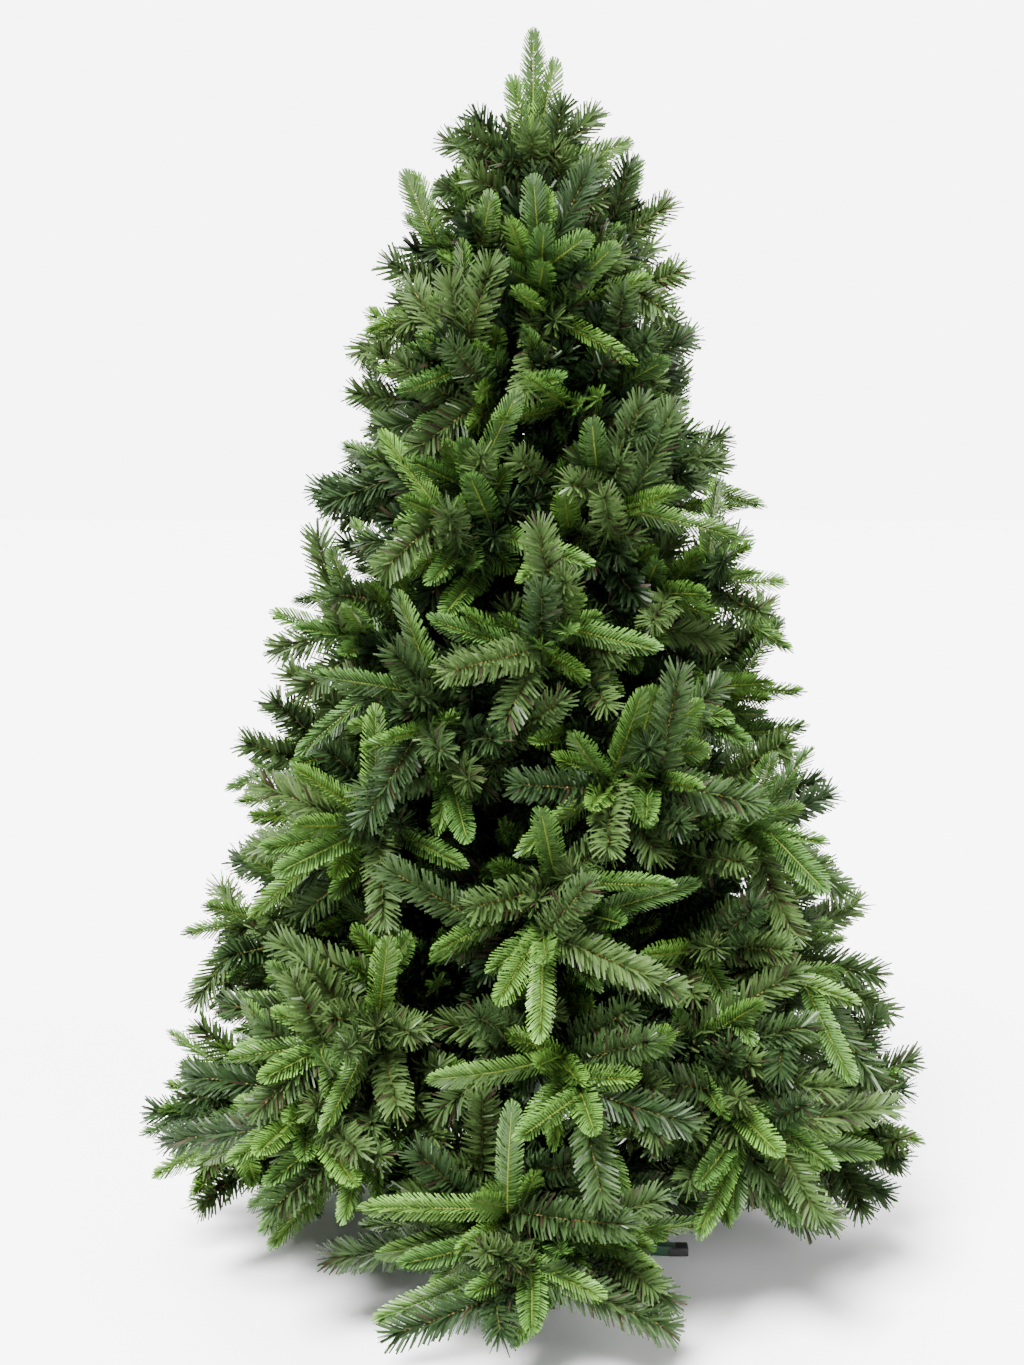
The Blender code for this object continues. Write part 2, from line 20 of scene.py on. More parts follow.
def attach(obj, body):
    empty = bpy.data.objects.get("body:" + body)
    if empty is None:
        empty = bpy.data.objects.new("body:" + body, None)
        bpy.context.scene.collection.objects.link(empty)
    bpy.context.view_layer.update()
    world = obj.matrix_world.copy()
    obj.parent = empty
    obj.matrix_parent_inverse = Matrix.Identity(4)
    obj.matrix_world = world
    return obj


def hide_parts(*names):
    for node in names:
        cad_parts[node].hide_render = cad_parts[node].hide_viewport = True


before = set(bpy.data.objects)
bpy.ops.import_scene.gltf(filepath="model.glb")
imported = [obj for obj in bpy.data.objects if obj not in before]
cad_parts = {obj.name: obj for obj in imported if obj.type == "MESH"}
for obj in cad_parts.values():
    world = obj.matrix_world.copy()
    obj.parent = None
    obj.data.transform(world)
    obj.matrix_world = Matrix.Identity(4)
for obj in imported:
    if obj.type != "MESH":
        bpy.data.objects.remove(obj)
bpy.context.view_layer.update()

bl_info = {
    "name": "Artificial Christmas Tree",
    "version": (1, 0, 0),
    "blender": (4, 5, 0),
    "location": "3D View > Sidebar > Tree",
    "description": "Tips, branch wires, pole and stand of an artificial Christmas tree",
    "category": "Add Mesh",
}

# ---------------------------------------------------------------- the growth rule of the solids

# Crown, in metres
TREE_HEIGHT = 1.80
CROWN_RADIUS = 0.595  # reach of the lowest tier
WIDEST = 0.20  # height at which it has this radius
CROWN_TAPER = 0.305  # radius lost for each metre of height
LOWEST_TIP = 0.085  # nothing hangs lower than this
TIP_HEIGHTS = (0.235, 0.43, 0.63, 0.82, 1.00, 1.175, 1.35, 1.515)  # of each tier's branches
BRANCHES = (8, 7, 6, 6, 5, 5, 4, 4)  # in each tier
TIER_PHASE = (0, 8, 2, 32, 2, 38, 50, 5)  # degrees that each tier is turned from the front
FIRST_SEED, TIER_SEEDS = 40, 100  # of the lowest tier, and the step from one tier to the next
ROOT_LIFT_LOW = 0.105  # the lowest tier hangs down from its collar
ROOT_LIFT_HIGH = -0.115  # and the highest one rises
TILT_LOW = math.radians(-16)  # of the outermost spray, from level
TILT_HIGH = math.radians(30)
SHORTEST_REACH, LONGEST_REACH = 0.96, 1.05  # of a branch, in shares of the crown's radius there
ZIGZAG_LOW, ZIGZAG_HIGH = 0.050, 0.012  # the branches of a tier are bent up and down in turn
TIP_SWAY = 0.012  # most that the height of a branch's tip is changed by chance
CROWN_SLACK = 0.022  # how far a spray may stand out of the crown
FRONT_TIP = 0.130  # height of the tip of the lowest branch at the front
BOUGH_TIERS = 1  # with bare boughs
STEM_STEPS = 3  # straight lengths in a branch's wire, of which the first is the bare bough
BEND = 0.4  # how far before its end a wire bends, in shares of its length
END_ROLL = 0.8  # most that the spray at a branch's end is rolled, in radians

# Sprays of the solids. Their shapes are given in shares of a spray's own length.
TRIDENT_LENGTH, TRIDENT_THICKNESS = 0.190, 0.13
SINGLE_LENGTH, SINGLE_THICKNESS = 0.178, 0.10
FILM_LENGTH = 0.205
HIGH_SPRAY_SCALE = 0.78  # of the highest tier's sprays, where the lowest tier's is 1
ROOT_SINK = 0.002  # how deep a spray's root sits in the wire
FORK = 0.28  # where the prongs of a moulded spray part
SIDE_PRONG, PRONG_SPREAD = 0.62, math.radians(50)
PRONG_EDGE = ((0.50, 0.23), (0.62, 0.16))  # along a prong, and half its width there
SHANK = (0.168, 0.05)  # the same for what is before the fork
CROTCH = 0.15  # distance from the fork at which two prongs' edges meet
PRONG_ARCH = 0.32
CORE_SIDES = 3
FILM_CORE = ((0.26, 0.11), (0.66, 0.135))  # place along it, and radius
FILM_NEEDLES = ((0.46, 0.31), (0.86, 0.25))
PROBES = {  # places (along, across) that stand for the room a spray takes up
    "trident": ((0.45, 0), (0.7, 0), (0.92, 0), (0.48, 0.24), (0.48, -0.24), (0.61, 0.4), (0.61, -0.4)),
    "single": ((0.4, 0), (0.65, 0), (0.9, 0)),
    "film": ((0.35, 0), (0.6, 0), (0.85, 0)),
}
SIDE_SPRAYS = (11, 11, 10, 9, 9, 8, 8, 8)  # most on a branch of each tier
TRIES = 300  # places thought of along a branch
LEAST_ROOM = 0.052  # that a spray's probes keep from those of others
OUTSIDE_FIRST = 0.8  # how much the places in the crown's surface are preferred, from 0 to 1
TRIDENT_SHARE = 0.40  # of the outer side sprays
LAST_SIDE_SPRAY = 0.02  # least distance from the spray at the end
SIDE_LENGTHS = (0.62, 1.08)
SIDE_LEANS = (0.55, 1.2)  # from the wire, in radians
SIDE_TURN, TOP_TURN = 0.9, 0.3  # most that a spray is turned about itself
TOP_SPRAYS = (  # kind, distance below the leader's foot, roll, lean and length
    ("single", 0.010, 0.30, 0.27, 0.145),
    ("single", 0.018, 3.40, 0.25, 0.130),
    ("single", 0.026, 4.90, 0.42, 0.125),
    ("film", 0.034, 0.10, 0.80, 0.160),
    ("film", 0.042, 3.00, 0.78, 0.160),
    ("film", 0.050, 1.60, 0.95, 0.150),
    ("film", 0.058, 4.60, 0.95, 0.150),
    ("film", 0.078, 0.70, 1.15, 0.165),
    ("film", 0.086, 2.27, 1.20, 0.165),
    ("film", 0.094, 3.84, 1.15, 0.165),
    ("film", 0.102, 5.41, 1.20, 0.165),
)
SPACE_MARGIN = 0.003  # by which a spray is nearer to its own wire than to any other
WIRE_MARGIN = 0.012
POLE_MARGIN = 0.030
STAND_MARGIN = 0.125  # height that is kept free over the stand
ROUNDING = 1e-6

# Wire, pole and stand
HEEL = 0.008  # level length of a wire beside the pole
BOUGH_END = 0.012  # how far a bare bough reaches into the foliage
CLEARANCE = 0.0003
POLE_TOP = 1.470
POLE_SECTIONS = ((0.0140, 0.560), (0.0125, 1.060), (0.0100, POLE_TOP))  # radius, top height
COLLAR_RADIUS = 0.0230
LEGS = 4
LEG_REACH, LEG_WIDTH = 0.235, 0.024
LEG_HEIGHT_IN, LEG_HEIGHT_OUT = 0.042, 0.016
LEG_TOP_IN = 0.100  # height of a leg's upper edge at the socket
LEG_CURVE = 1.6
FOOT_LENGTH = 0.034

TIERS = len(TIP_HEIGHTS)
LENGTHS = {"trident": TRIDENT_LENGTH, "single": SINGLE_LENGTH, "film": FILM_LENGTH}

Branch = namedtuple("Branch", "name tier azimuth root line tip seed scale")
Spray = namedtuple("Spray", "kind root along across length")
Tip = namedtuple("Tip", "kind root along across length seed")


def share(tier):
    """0 at the lowest tier and 1 at the highest."""
    return tier / (TIERS - 1)


def mix(low, high, part):
    return low + (high - low) * part


def outward(azimuth):
    """Level unit vector at this azimuth, which is 0 at the front and turns to the tree's +X side."""
    return Vector((math.sin(azimuth), -math.cos(azimuth), 0))


def root_height(tier):
    return TIP_HEIGHTS[tier] + mix(ROOT_LIFT_LOW, ROOT_LIFT_HIGH, share(tier))


def pole_radius(tier):
    if tier < BOUGH_TIERS:
        return COLLAR_RADIUS
    return next(radius for radius, top in POLE_SECTIONS if root_height(tier) < top)


def crown_radius(height):
    return CROWN_RADIUS - CROWN_TAPER * (height - WIDEST)


def branches():
    """Every branch of the tiers, from the lowest tier up."""
    made = []
    for tier in range(TIERS):
        count = BRANCHES[tier]
        tilt = mix(TILT_LOW, TILT_HIGH, share(tier))
        scale = mix(1, HIGH_SPRAY_SCALE, share(tier))
        for index in range(count):
            seed = FIRST_SEED + TIER_SEEDS * tier + index
            rng = random.Random(seed)
            azimuth = math.radians(TIER_PHASE[tier]) + 2 * math.pi * index / count
            stretch = rng.uniform(SHORTEST_REACH, LONGEST_REACH)
            bend = mix(ZIGZAG_LOW, ZIGZAG_HIGH, share(tier)) * (1 if index % 2 else -1)
            height = TIP_HEIGHTS[tier] + bend + rng.uniform(-TIP_SWAY, TIP_SWAY)
            if tier == index == 0:
                height = FRONT_TIP
            if tier == 0 and index % 2 == 0:
                stretch = CROWN_RADIUS / crown_radius(height)
            out = outward(azimuth)
            tip = out * crown_radius(height) * stretch + Vector((0, 0, height))
            lean = out * math.cos(tilt) + Vector((0, 0, math.sin(tilt)))
            root = out * (pole_radius(tier) + CLEARANCE) + Vector((0, 0, root_height(tier)))
            end = tip - lean * TRIDENT_LENGTH * scale
            name = f"tier_{tier + 1}_foliage_{index + 1}"
            line = wire_line(root, end, tip, azimuth)
            made.append(Branch(name, tier, azimuth, root, line, tip, seed, scale))
    return made


def wire_line(root, end, tip, azimuth):
    """The corners of a branch's wire, from its level heel at the pole to its last spray."""
    lean = (tip - end).normalized()
    heel = root + outward(azimuth) * HEEL
    bend = end - lean * (end - heel).length * BEND
    steps = [n / STEM_STEPS for n in range(STEM_STEPS + 1)]
    return [heel.lerp(bend, s).lerp(bend.lerp(end, s), s) for s in steps]


def stem_place(branch, s):
    """The point and direction of a branch's wire at s, from 0 at its heel to 1 at its last spray."""
    step = min(int(s * STEM_STEPS), STEM_STEPS - 1)
    before, after = branch.line[step], branch.line[step + 1]
    return before.lerp(after, s * STEM_STEPS - step), (after - before).normalized()


def aimed(kind, root, along, roll, lean, length, flat):
    """A spray that leaves a stem at an angle, towards the side that roll says."""
    upright = math.hypot(along.x, along.y) < ROUNDING
    level = Vector((1, 0, 0)) if upright else along.cross(Vector((0, 0, 1))).normalized()
    up = level.cross(along).normalized()
    side = level * math.cos(roll) + up * math.sin(roll)
    direction = along * math.cos(lean) + side * math.sin(lean)
    across = direction.cross(up).normalized()
    across = Matrix.Rotation(flat, 3, direction) @ across
    return Spray(kind, root, direction, across, length)


class Crown:
    """All the sprays of the tree, chosen so that they fill it evenly and never meet another mass."""

    def __init__(self, shapes):
        self.shapes, self.probes = {}, {}
        for kind, mesh in shapes.items():
            corners = [vert.co for vert in mesh.vertices]
            edges = [edge.vertices for edge in mesh.edges]
            middles = [(corners[first] + corners[second]) / 2 for first, second in edges]
            self.shapes[kind] = numpy.array([(*co, 1) for co in corners + middles])
            self.probes[kind] = numpy.array([(x, y, 0, 1) for x, y in PROBES[kind]])
        self.branches = branches()
        self.chosen = {branch.name: [] for branch in self.branches}
        self.chosen["top_foliage"] = []
        ends, owners = [], []
        for owner, branch in enumerate(self.branches):
            line = [branch.root, *branch.line, branch.tip]
            ends += list(zip(line, line[1:]))
            owners += [owner] * (len(line) - 1)
        twigs = [(spray.root, spray.root + spray.along * spray.length) for spray in top_sprays()]
        ends += [(Vector((0, 0, POLE_TOP)), Vector((0, 0, TREE_HEIGHT))), *twigs]
        owners += [len(self.branches)] * (len(twigs) + 1)
        self.starts = numpy.array([start for start, end in ends])
        self.runs = numpy.array([end - start for start, end in ends])
        self.owners = numpy.array(owners)
        self.filled = numpy.empty((0, 3))

    def fits(self, spray, owner):
        """Whether a spray keeps to the space that is nearer to its own wire than to any other."""
        points = (self.shapes[spray.kind] @ numpy.array(placed(spray)).T)[:, :3]
        radius = numpy.hypot(points[:, 0], points[:, 1])
        height = points[:, 2]
        over_stand = radius < LEG_REACH + POLE_MARGIN
        if height.min() < LOWEST_TIP or numpy.any(over_stand & (height < STAND_MARGIN)):
            return False
        if numpy.any((radius < POLE_MARGIN) & (height < POLE_TOP)):
            return False
        widest = numpy.minimum(CROWN_RADIUS, crown_radius(height) + CROWN_SLACK)
        if numpy.any(radius > widest + ROUNDING):
            return False
        root = numpy.array(spray.root)[None]
        reach = numpy.linalg.norm(points - root, axis=1).max()
        near = self.gaps(root, self.owners >= 0)[0] < 2 * reach + WIRE_MARGIN
        own = self.gaps(points, near & (self.owners == owner)).min(1)
        other = self.gaps(points, near & (self.owners != owner)).min(1, initial=numpy.inf)
        return bool(numpy.all(own + SPACE_MARGIN < other) and other.min() > WIRE_MARGIN)

    def gaps(self, points, wires):
        """Distances from points to these straight lengths of wire."""
        starts, runs = self.starts[wires], self.runs[wires]
        from_start = points[:, None] - starts
        share_along = numpy.clip((from_start * runs).sum(2) / (runs ** 2).sum(1), 0, 1)
        return numpy.linalg.norm(from_start - share_along[..., None] * runs, axis=2)

    def keep(self, name, spray):
        self.chosen[name].append(spray)
        self.filled = numpy.vstack((self.filled, self.middles(spray)))

    def middles(self, spray):
        return (self.probes[spray.kind] @ numpy.array(placed(spray)).T)[:, :3]

    def grow(self):
        """Choose the sprays: the ends of the branches first, then round after round of side sprays."""
        for spray in top_sprays():
            if self.fits(spray, len(self.branches)):
                self.keep("top_foliage", spray)
        options = []
        for owner, branch in enumerate(self.branches):
            rng = random.Random(branch.seed)
            self.keep(branch.name, end_spray(branch, rng))
            tries = [side_spray(branch, rng) for _ in range(TRIES)]
            tries = [spray for spray in tries if self.fits(spray, owner)]
            room = LEAST_ROOM * branch.scale
            options.append(Places(self, branch.name, tries, SIDE_SPRAYS[branch.tier], room, OUTSIDE_FIRST))
        self.choose(options)
        return self.chosen

    def choose(self, options):
        """Round after round, fill the most wanted place of each branch that still has room."""
        for places in options:
            places.measure(self.filled)
        for count in range(max(places.most for places in options)):
            for places in options:
                spray = places.best() if count < places.most else None
                if spray:
                    self.keep(places.name, spray)
                    for others in options:
                        others.measure(self.filled[-len(self.probes[spray.kind]):])


class Places:
    """Places thought of for the sprays of one mass, with the room that each of them still has."""

    def __init__(self, crown, name, sprays, most, least_room, outside_first):
        self.name, self.sprays, self.most, self.least_room = name, sprays, most, least_room
        middles = [crown.middles(spray) for spray in sprays]
        most_probes = max([len(points) for points in middles], default=1)
        middles = [numpy.pad(points, ((0, most_probes - len(points)), (0, 0)), "edge") for points in middles]
        self.middles = numpy.array(middles).reshape(-1, most_probes, 3)
        self.rooms = numpy.full(len(sprays), numpy.inf)
        self.lengths = numpy.array([spray.length for spray in sprays])
        self.outside = numpy.array([mix(1, outside(spray), outside_first) for spray in sprays])

    def measure(self, points):
        """Take these filled points into account, and forget the places that have no room left."""
        if len(self.sprays):
            gaps = numpy.linalg.norm(self.middles[:, :, None] - points, axis=3)
            self.rooms = numpy.minimum(self.rooms, gaps.min((1, 2)))
            free = numpy.flatnonzero(self.rooms > self.least_room)
            if len(free) < len(self.sprays):
                self.sprays = [self.sprays[number] for number in free]
                self.middles, self.rooms = self.middles[free], self.rooms[free]
                self.lengths, self.outside = self.lengths[free], self.outside[free]

    def best(self):
        """The place that is most wanted, or none if nothing has room."""
        if not self.sprays:
            return None
        return self.sprays[int((self.rooms * self.lengths * self.outside).argmax())]


def outside(spray):
    """How far out in the crown a spray ends, where 1 is the crown's surface."""
    end = spray.root + spray.along * spray.length
    return math.hypot(end.x, end.y) / crown_radius(end.z)


def end_spray(branch, rng):
    """The trident at the end of a branch."""
    end = branch.line[-1]
    along = (branch.tip - end).normalized()
    level = outward(branch.azimuth).cross(Vector((0, 0, 1)))
    across = Matrix.Rotation(rng.uniform(-END_ROLL, END_ROLL), 3, along) @ level
    return Spray("trident", end, along, across, (branch.tip - end).length)


def side_spray(branch, rng):
    """One place that a spray could have along a branch."""
    span = (branch.line[-1] - branch.line[0]).length
    bare = span / STEM_STEPS + 2 * BOUGH_END if branch.tier < BOUGH_TIERS else POLE_MARGIN / 2
    back = rng.uniform(LAST_SIDE_SPRAY, span - bare)
    kind = "trident" if back < span / 2 and rng.random() < TRIDENT_SHARE else "film"
    place, along = stem_place(branch, 1 - back / span)
    length = LENGTHS[kind] * branch.scale * rng.uniform(*SIDE_LENGTHS)
    roll, lean = rng.uniform(0, 2 * math.pi), rng.uniform(*SIDE_LEANS)
    return aimed(kind, place, along, roll, lean, length, rng.uniform(-SIDE_TURN, SIDE_TURN))


def top_sprays():
    """The leader at the very top, the short sprays beside it and the rings below."""
    up = Vector((0, 0, 1))
    leader_foot = Vector((0, 0, TREE_HEIGHT - SINGLE_LENGTH))
    found = [Spray("single", leader_foot, up, Vector((1, 0, 0)), SINGLE_LENGTH)]
    for kind, below, roll, lean, length in TOP_SPRAYS:
        found.append(aimed(kind, leader_foot - up * below, up, roll, lean, length, TOP_TURN))
    return found


def moulded_outline(prongs):
    """The edge of a flat spray, from its root round its prongs and back. Each is (angle, length)."""
    fork = Vector((FORK, 0, 0))
    along_shank, across_shank = SHANK
    edge = [Vector((0, 0, 0)), Vector((along_shank, across_shank, 0))]
    for number, (angle, length) in enumerate(prongs):
        along = Vector((math.cos(angle), math.sin(angle), 0)) * length
        across = Vector((along.y, -along.x, 0))
        left = [fork + along * u - across * v for u, v in PRONG_EDGE]
        right = [fork + along * u + across * v for u, v in reversed(PRONG_EDGE)]
        if number:
            between = (angle + prongs[number - 1][0]) / 2
            edge.append(fork + Vector((math.cos(between), math.sin(between), 0)) * CROTCH)
        edge += [*left, fork + along, *right]
    edge.append(Vector((along_shank, -across_shank, 0)))
    return [Vector((place.x, place.y, PRONG_ARCH * place.y ** 2)) for place in edge]


def moulded_shape(prongs, thickness):
    """A flat spray of length 1: a sphere of two caps, its rim drawn out into toothed prongs."""
    outline = moulded_outline(prongs)
    bm = bmesh.new()
    bmesh.ops.create_uvsphere(bm, u_segments=len(outline), v_segments=2, radius=1)
    rim = sorted((v for v in bm.verts if abs(v.co.z) < 0.5), key=lambda v: -math.atan2(v.co.y, v.co.x))
    for vert in bm.verts:
        if abs(vert.co.z) > 0.5:
            vert.co = Vector((FORK, 0, math.copysign(thickness / 2, vert.co.z)))
    for vert, place in zip(rim, outline):
        vert.co = place
    return bm


def film_shape():
    """A spiny spray of length 1: a slim core, each of whose outer faces is drawn out to a needle."""
    bm = bmesh.new()
    bmesh.ops.create_uvsphere(bm, u_segments=CORE_SIDES, v_segments=3, radius=1)
    root, *rings, tip = sorted(bm.verts, key=lambda vert: vert.co.z)
    root.co, tip.co = Vector((0, 0, 0)), Vector((1, 0, 0))
    for number, (x, radius) in enumerate(FILM_CORE):
        ring = rings[number * CORE_SIDES:(number + 1) * CORE_SIDES]
        ring.sort(key=lambda vert: math.atan2(vert.co.y, vert.co.x))
        for step, vert in enumerate(ring):
            turn = (step + number / 2) * 2 * math.pi / CORE_SIDES
            vert.co = Vector((x, radius * math.cos(turn), radius * math.sin(turn)))
    for face in [face for face in bm.faces if root not in face.verts]:
        x, radius = FILM_NEEDLES[tip in face.verts]
        needle = bmesh.ops.poke(bm, faces=[face])["verts"][0]
        across = Vector((0, needle.co.y, needle.co.z)).normalized()
        needle.co = Vector((x, 0, 0)) + across * radius
    return bm


def placed(spray):
    """The matrix that puts a spray's shape in place."""
    across = (spray.across - spray.along * spray.across.dot(spray.along)).normalized()
    axes = Matrix((spray.along, across, spray.along.cross(across))).transposed().to_4x4()
    size = Matrix.Scale(spray.length + ROOT_SINK, 4)
    return Matrix.Translation(spray.root - spray.along * ROOT_SINK) @ axes @ size


# ---------------------------------------------------------------- from sprays to single tips

MOULDED_SHARES = (0.35, 0.68)  # of the spiny sprays near the pole and in the surface, that are moulded
FILM_SPREAD = math.radians(34)  # between a spiny spray's middle tip and those beside it
FILM_SIDE = 0.66  # length of those beside it
SIDE_SWINGS = (0.85, 1.05)  # share of that angle at which a tip beside the middle one stands
SIDE_SCALES = (0.90, 1.04)  # and of that length
SIDE_ROOTS = (0, 0.5)  # how far back from the fork it starts
MOULDED_FILL = 0.46  # of the single tips
TIP_PROBES = (0.4, 0.9)
INNER_TIPS = (9, 16, 14, 12, 12, 11, 11, 11)  # dark tips near the pole, whose dark colour is painted shade, on a branch of each tier
INNER_REACH = 0.65  # share of a wire that has them
INNER_ROOM = 0.016
TOP_TIPS = 20
TOP_LEANS, TOP_LENGTHS = (1.1, 1.8), (0.11, 0.16)
TOP_FILM = 0.86  # length of the film tips at the top, which leave the leader free
FILL_TIPS = (36, 20, 16, 14, 13, 12, 12, 13)  # single tips that fill gaps, on a branch of each tier
FILL_TRIES = 320
BARE_WIRE = 0.010  # beside the pole, and above its cap
TWIG_SHARE = 0.55  # of the places thought of, that are on a twig
TWIG_PART = (0.25, 0.55)
FILL_LENGTHS = (0.115, 0.190)
FILL_SCALE = 0.5  # how much of a high tier's smaller scale its single tips make up for
FILL_ROOM = 0.022
FILL_LEANS = (0.30, 1.25)
SKIRT_SHARE = 0.6  # of the lowest tier's places, that point level towards the next branch
SKIRT_LEANS, SKIRT_SWAY = (0.85, 1.45), 0.40
SKIRT_LENGTH = 0.205
FILL_LIFTS = (-0.10, 0.40)  # how much a tip is turned up, in the lowest tier and the highest
EDGE_MARGIN = 0.012  # between a single tip's wire and the crown's reach

# Seeds
MASS_SEEDS, SPRAY_SEEDS, SIDE_SEEDS = 1000, 20, 7  # steps between masses, sprays and a spray's tips
FILL_SEED, FILL_SEEDS = 500, 17  # first seed and step, for single tips
OUTER_PLACES, INNER_PLACES = 100, 65  # added to a branch's own seed for its places
TOP_PLACES = 20


def unit(vector):
    return vector / vector.length


def squared(across, along):
    """The direction nearest to across that is square to along."""
    return unit(across - along * across.dot(along))


def tips_of(spray, seed):
    """The single tips that a spray of the solids stands for."""
    rng = random.Random(seed)
    across = squared(spray.across, spray.along)
    if spray.kind == "single":
        return [Tip("moulded", spray.root, spray.along, across, spray.length, seed)]
    forked, high = spray.kind == "trident", spray.root.z >= POLE_TOP
    moulded = forked or (rng.random() < mix(*MOULDED_SHARES, min(1, outside(spray))) and not high)
    kind = "moulded" if moulded else "film"
    spread, side = (PRONG_SPREAD, SIDE_PRONG) if forked else (FILM_SPREAD, FILM_SIDE)
    size = spray.length * (TOP_FILM if high and not forked else 1)
    if not (high or forked):
        across = Matrix.Rotation(rng.uniform(0, math.pi), 3, spray.along) @ across
    fork = spray.root + spray.along * size * FORK
    found = [Tip(kind, spray.root, spray.along, across, size, seed)]
    for turn in (-1, 1):
        swing = turn * spread * rng.uniform(*SIDE_SWINGS)
        along = unit(spray.along * math.cos(swing) + across * math.sin(swing))
        beside = unit(across * math.cos(swing) - spray.along * math.sin(swing))
        length = size * side * rng.uniform(*SIDE_SCALES)
        root = fork.lerp(spray.root, rng.uniform(*SIDE_ROOTS))
        found.append(Tip(kind, root, along, beside, length, seed + SIDE_SEEDS * turn))
    return found


class FineCrown(Crown):
    """The same crown carried to single tips, with more of them where it still has room."""

    def tips(self):
        """Every tip, as a dictionary from the mass it belongs to."""
        sprays_of = self.grow()
        found = {}
        for number, (name, sprays) in enumerate(sprays_of.items()):
            seeds = [MASS_SEEDS * number + SPRAY_SEEDS * place for place in range(len(sprays))]
            found[name] = [tip for spray, seed in zip(sprays, seeds) for tip in tips_of(spray, seed)]
        own = [tip for tips in found.values() for tip in tips]
        self.filled = numpy.array([tip.root + tip.along * tip.length * s for tip in own for s in TIP_PROBES])
        self.probes["tip"] = numpy.array([(s, 0, 0, 1) for s in TIP_PROBES])
        self.chosen = {name: [] for name in found}
        filling = []
        for branch in self.branches:
            rng = random.Random(branch.seed + OUTER_PLACES)
            tries = [fill_tip(branch, 1, sprays_of[branch.name], rng) for _ in range(FILL_TRIES)]
            filling.append(self.places(branch.name, tries, FILL_TIPS[branch.tier], FILL_ROOM, OUTSIDE_FIRST))
        rng = random.Random(TOP_PLACES)
        tries = [top_tip(rng) for _ in range(FILL_TRIES)]
        filling.append(self.places("top_foliage", tries, TOP_TIPS, FILL_ROOM, OUTSIDE_FIRST))
        self.choose(filling)
        outer = {name: len(sprays) for name, sprays in self.chosen.items()}
        lining = []
        for branch in self.branches:
            rng = random.Random(branch.seed + INNER_PLACES)
            tries = [fill_tip(branch, INNER_REACH, (), rng) for _ in range(FILL_TRIES)]
            lining.append(self.places(branch.name, tries, INNER_TIPS[branch.tier], INNER_ROOM, 0))
        self.choose(lining)
        for number, (name, sprays) in enumerate(self.chosen.items()):
            for count, spray in enumerate(sprays):
                seed = FILL_SEED + MASS_SEEDS * number + FILL_SEEDS * count
                moulded = random.Random(seed).random() < MOULDED_FILL
                kind = "inner" if count >= outer[name] else "moulded" if moulded else "film"
                found[name].append(Tip(kind, *spray[1:], seed))
        return found

    def places(self, name, tries, most, room, outside_first):
        return Places(self, name, [spray for spray in tries if in_reach(spray)], most, room, outside_first)


def in_reach(spray):
    """Whether a single tip keeps within the crown and clear of the pole and the stand."""
    for s in (*TIP_PROBES, 1):
        place = spray.root + spray.along * spray.length * s
        radius = math.hypot(place.x, place.y)
        if radius > min(CROWN_RADIUS - EDGE_MARGIN, crown_radius(place.z) + CROWN_SLACK):
            return False
        if place.z < LOWEST_TIP or (radius < POLE_MARGIN and place.z < POLE_TOP):
            return False
        if radius < LEG_REACH + POLE_MARGIN and place.z < STAND_MARGIN:
            return False
    return True


def fill_tip(branch, reach, twigs, rng):
    """One place that a single tip could have along a branch or on one of its twigs."""
    span = (branch.line[-1] - branch.line[0]).length
    bare = span / STEM_STEPS + 2 * BOUGH_END if branch.tier < BOUGH_TIERS else BARE_WIRE
    place, along = stem_place(branch, rng.uniform(bare / span, reach))
    if twigs and rng.random() < TWIG_SHARE:
        twig = rng.choice(twigs)
        place, along = twig.root + twig.along * twig.length * rng.uniform(*TWIG_PART), twig.along
    roll, lean = rng.uniform(0, 2 * math.pi), rng.uniform(*FILL_LEANS)
    length = rng.uniform(*FILL_LENGTHS) * mix(branch.scale, 1, FILL_SCALE)
    if branch.tier == 0 and rng.random() < SKIRT_SHARE:
        roll = rng.choice((0, math.pi)) + rng.uniform(-SKIRT_SWAY, SKIRT_SWAY)
        lean, length = rng.uniform(*SKIRT_LEANS), SKIRT_LENGTH
    tip = aimed("tip", place, along, roll, lean, length, rng.uniform(-SIDE_TURN, SIDE_TURN))
    lift = Vector((0, 0, mix(*FILL_LIFTS, share(branch.tier))))
    return tip._replace(along=unit(tip.along + lift))


def top_tip(rng):
    """One place that a single tip could have round the wire at the top."""
    up = Vector((0, 0, 1))
    place = up * rng.uniform(POLE_TOP + BARE_WIRE, TREE_HEIGHT - SINGLE_LENGTH)
    roll, lean = rng.uniform(0, 2 * math.pi), rng.uniform(*TOP_LEANS)
    length, flat = rng.uniform(*TOP_LENGTHS), rng.uniform(-SIDE_TURN, SIDE_TURN)
    return aimed("tip", place, up, roll, lean, length, flat)


@functools.lru_cache(maxsize=1)
def grown_crown():
    """The branches with all their tips, worked out once for all the pieces that need them."""
    side_prongs = ((PRONG_SPREAD, SIDE_PRONG), (-PRONG_SPREAD, SIDE_PRONG))
    solids = {
        "trident": moulded_shape((side_prongs[0], (0, 1 - FORK), side_prongs[1]), TRIDENT_THICKNESS),
        "single": moulded_shape(((0, 1 - FORK),), SINGLE_THICKNESS),
        "film": film_shape(),
    }
    shapes = {kind: mesh_from(bm, kind + "_shape") for kind, bm in solids.items()}
    crown = FineCrown(shapes)
    tips = crown.tips()
    for mesh in shapes.values():
        bpy.data.meshes.remove(mesh)
    return crown.branches, tips


# ---------------------------------------------------------------- sizes and colours

def length_of(name, description, default):
    return FloatProperty(name=name, description=description, default=default, unit="LENGTH")


def share_of(name, description, default):
    return FloatProperty(name=name, description=description, default=default, min=0, max=1)


def strength_of(name, description, default):
    return FloatProperty(name=name, description=description, default=default, min=0)


def colour_of(name, description, default):
    return FloatVectorProperty(name=name, description=description, default=default, subtype="COLOR", size=3)


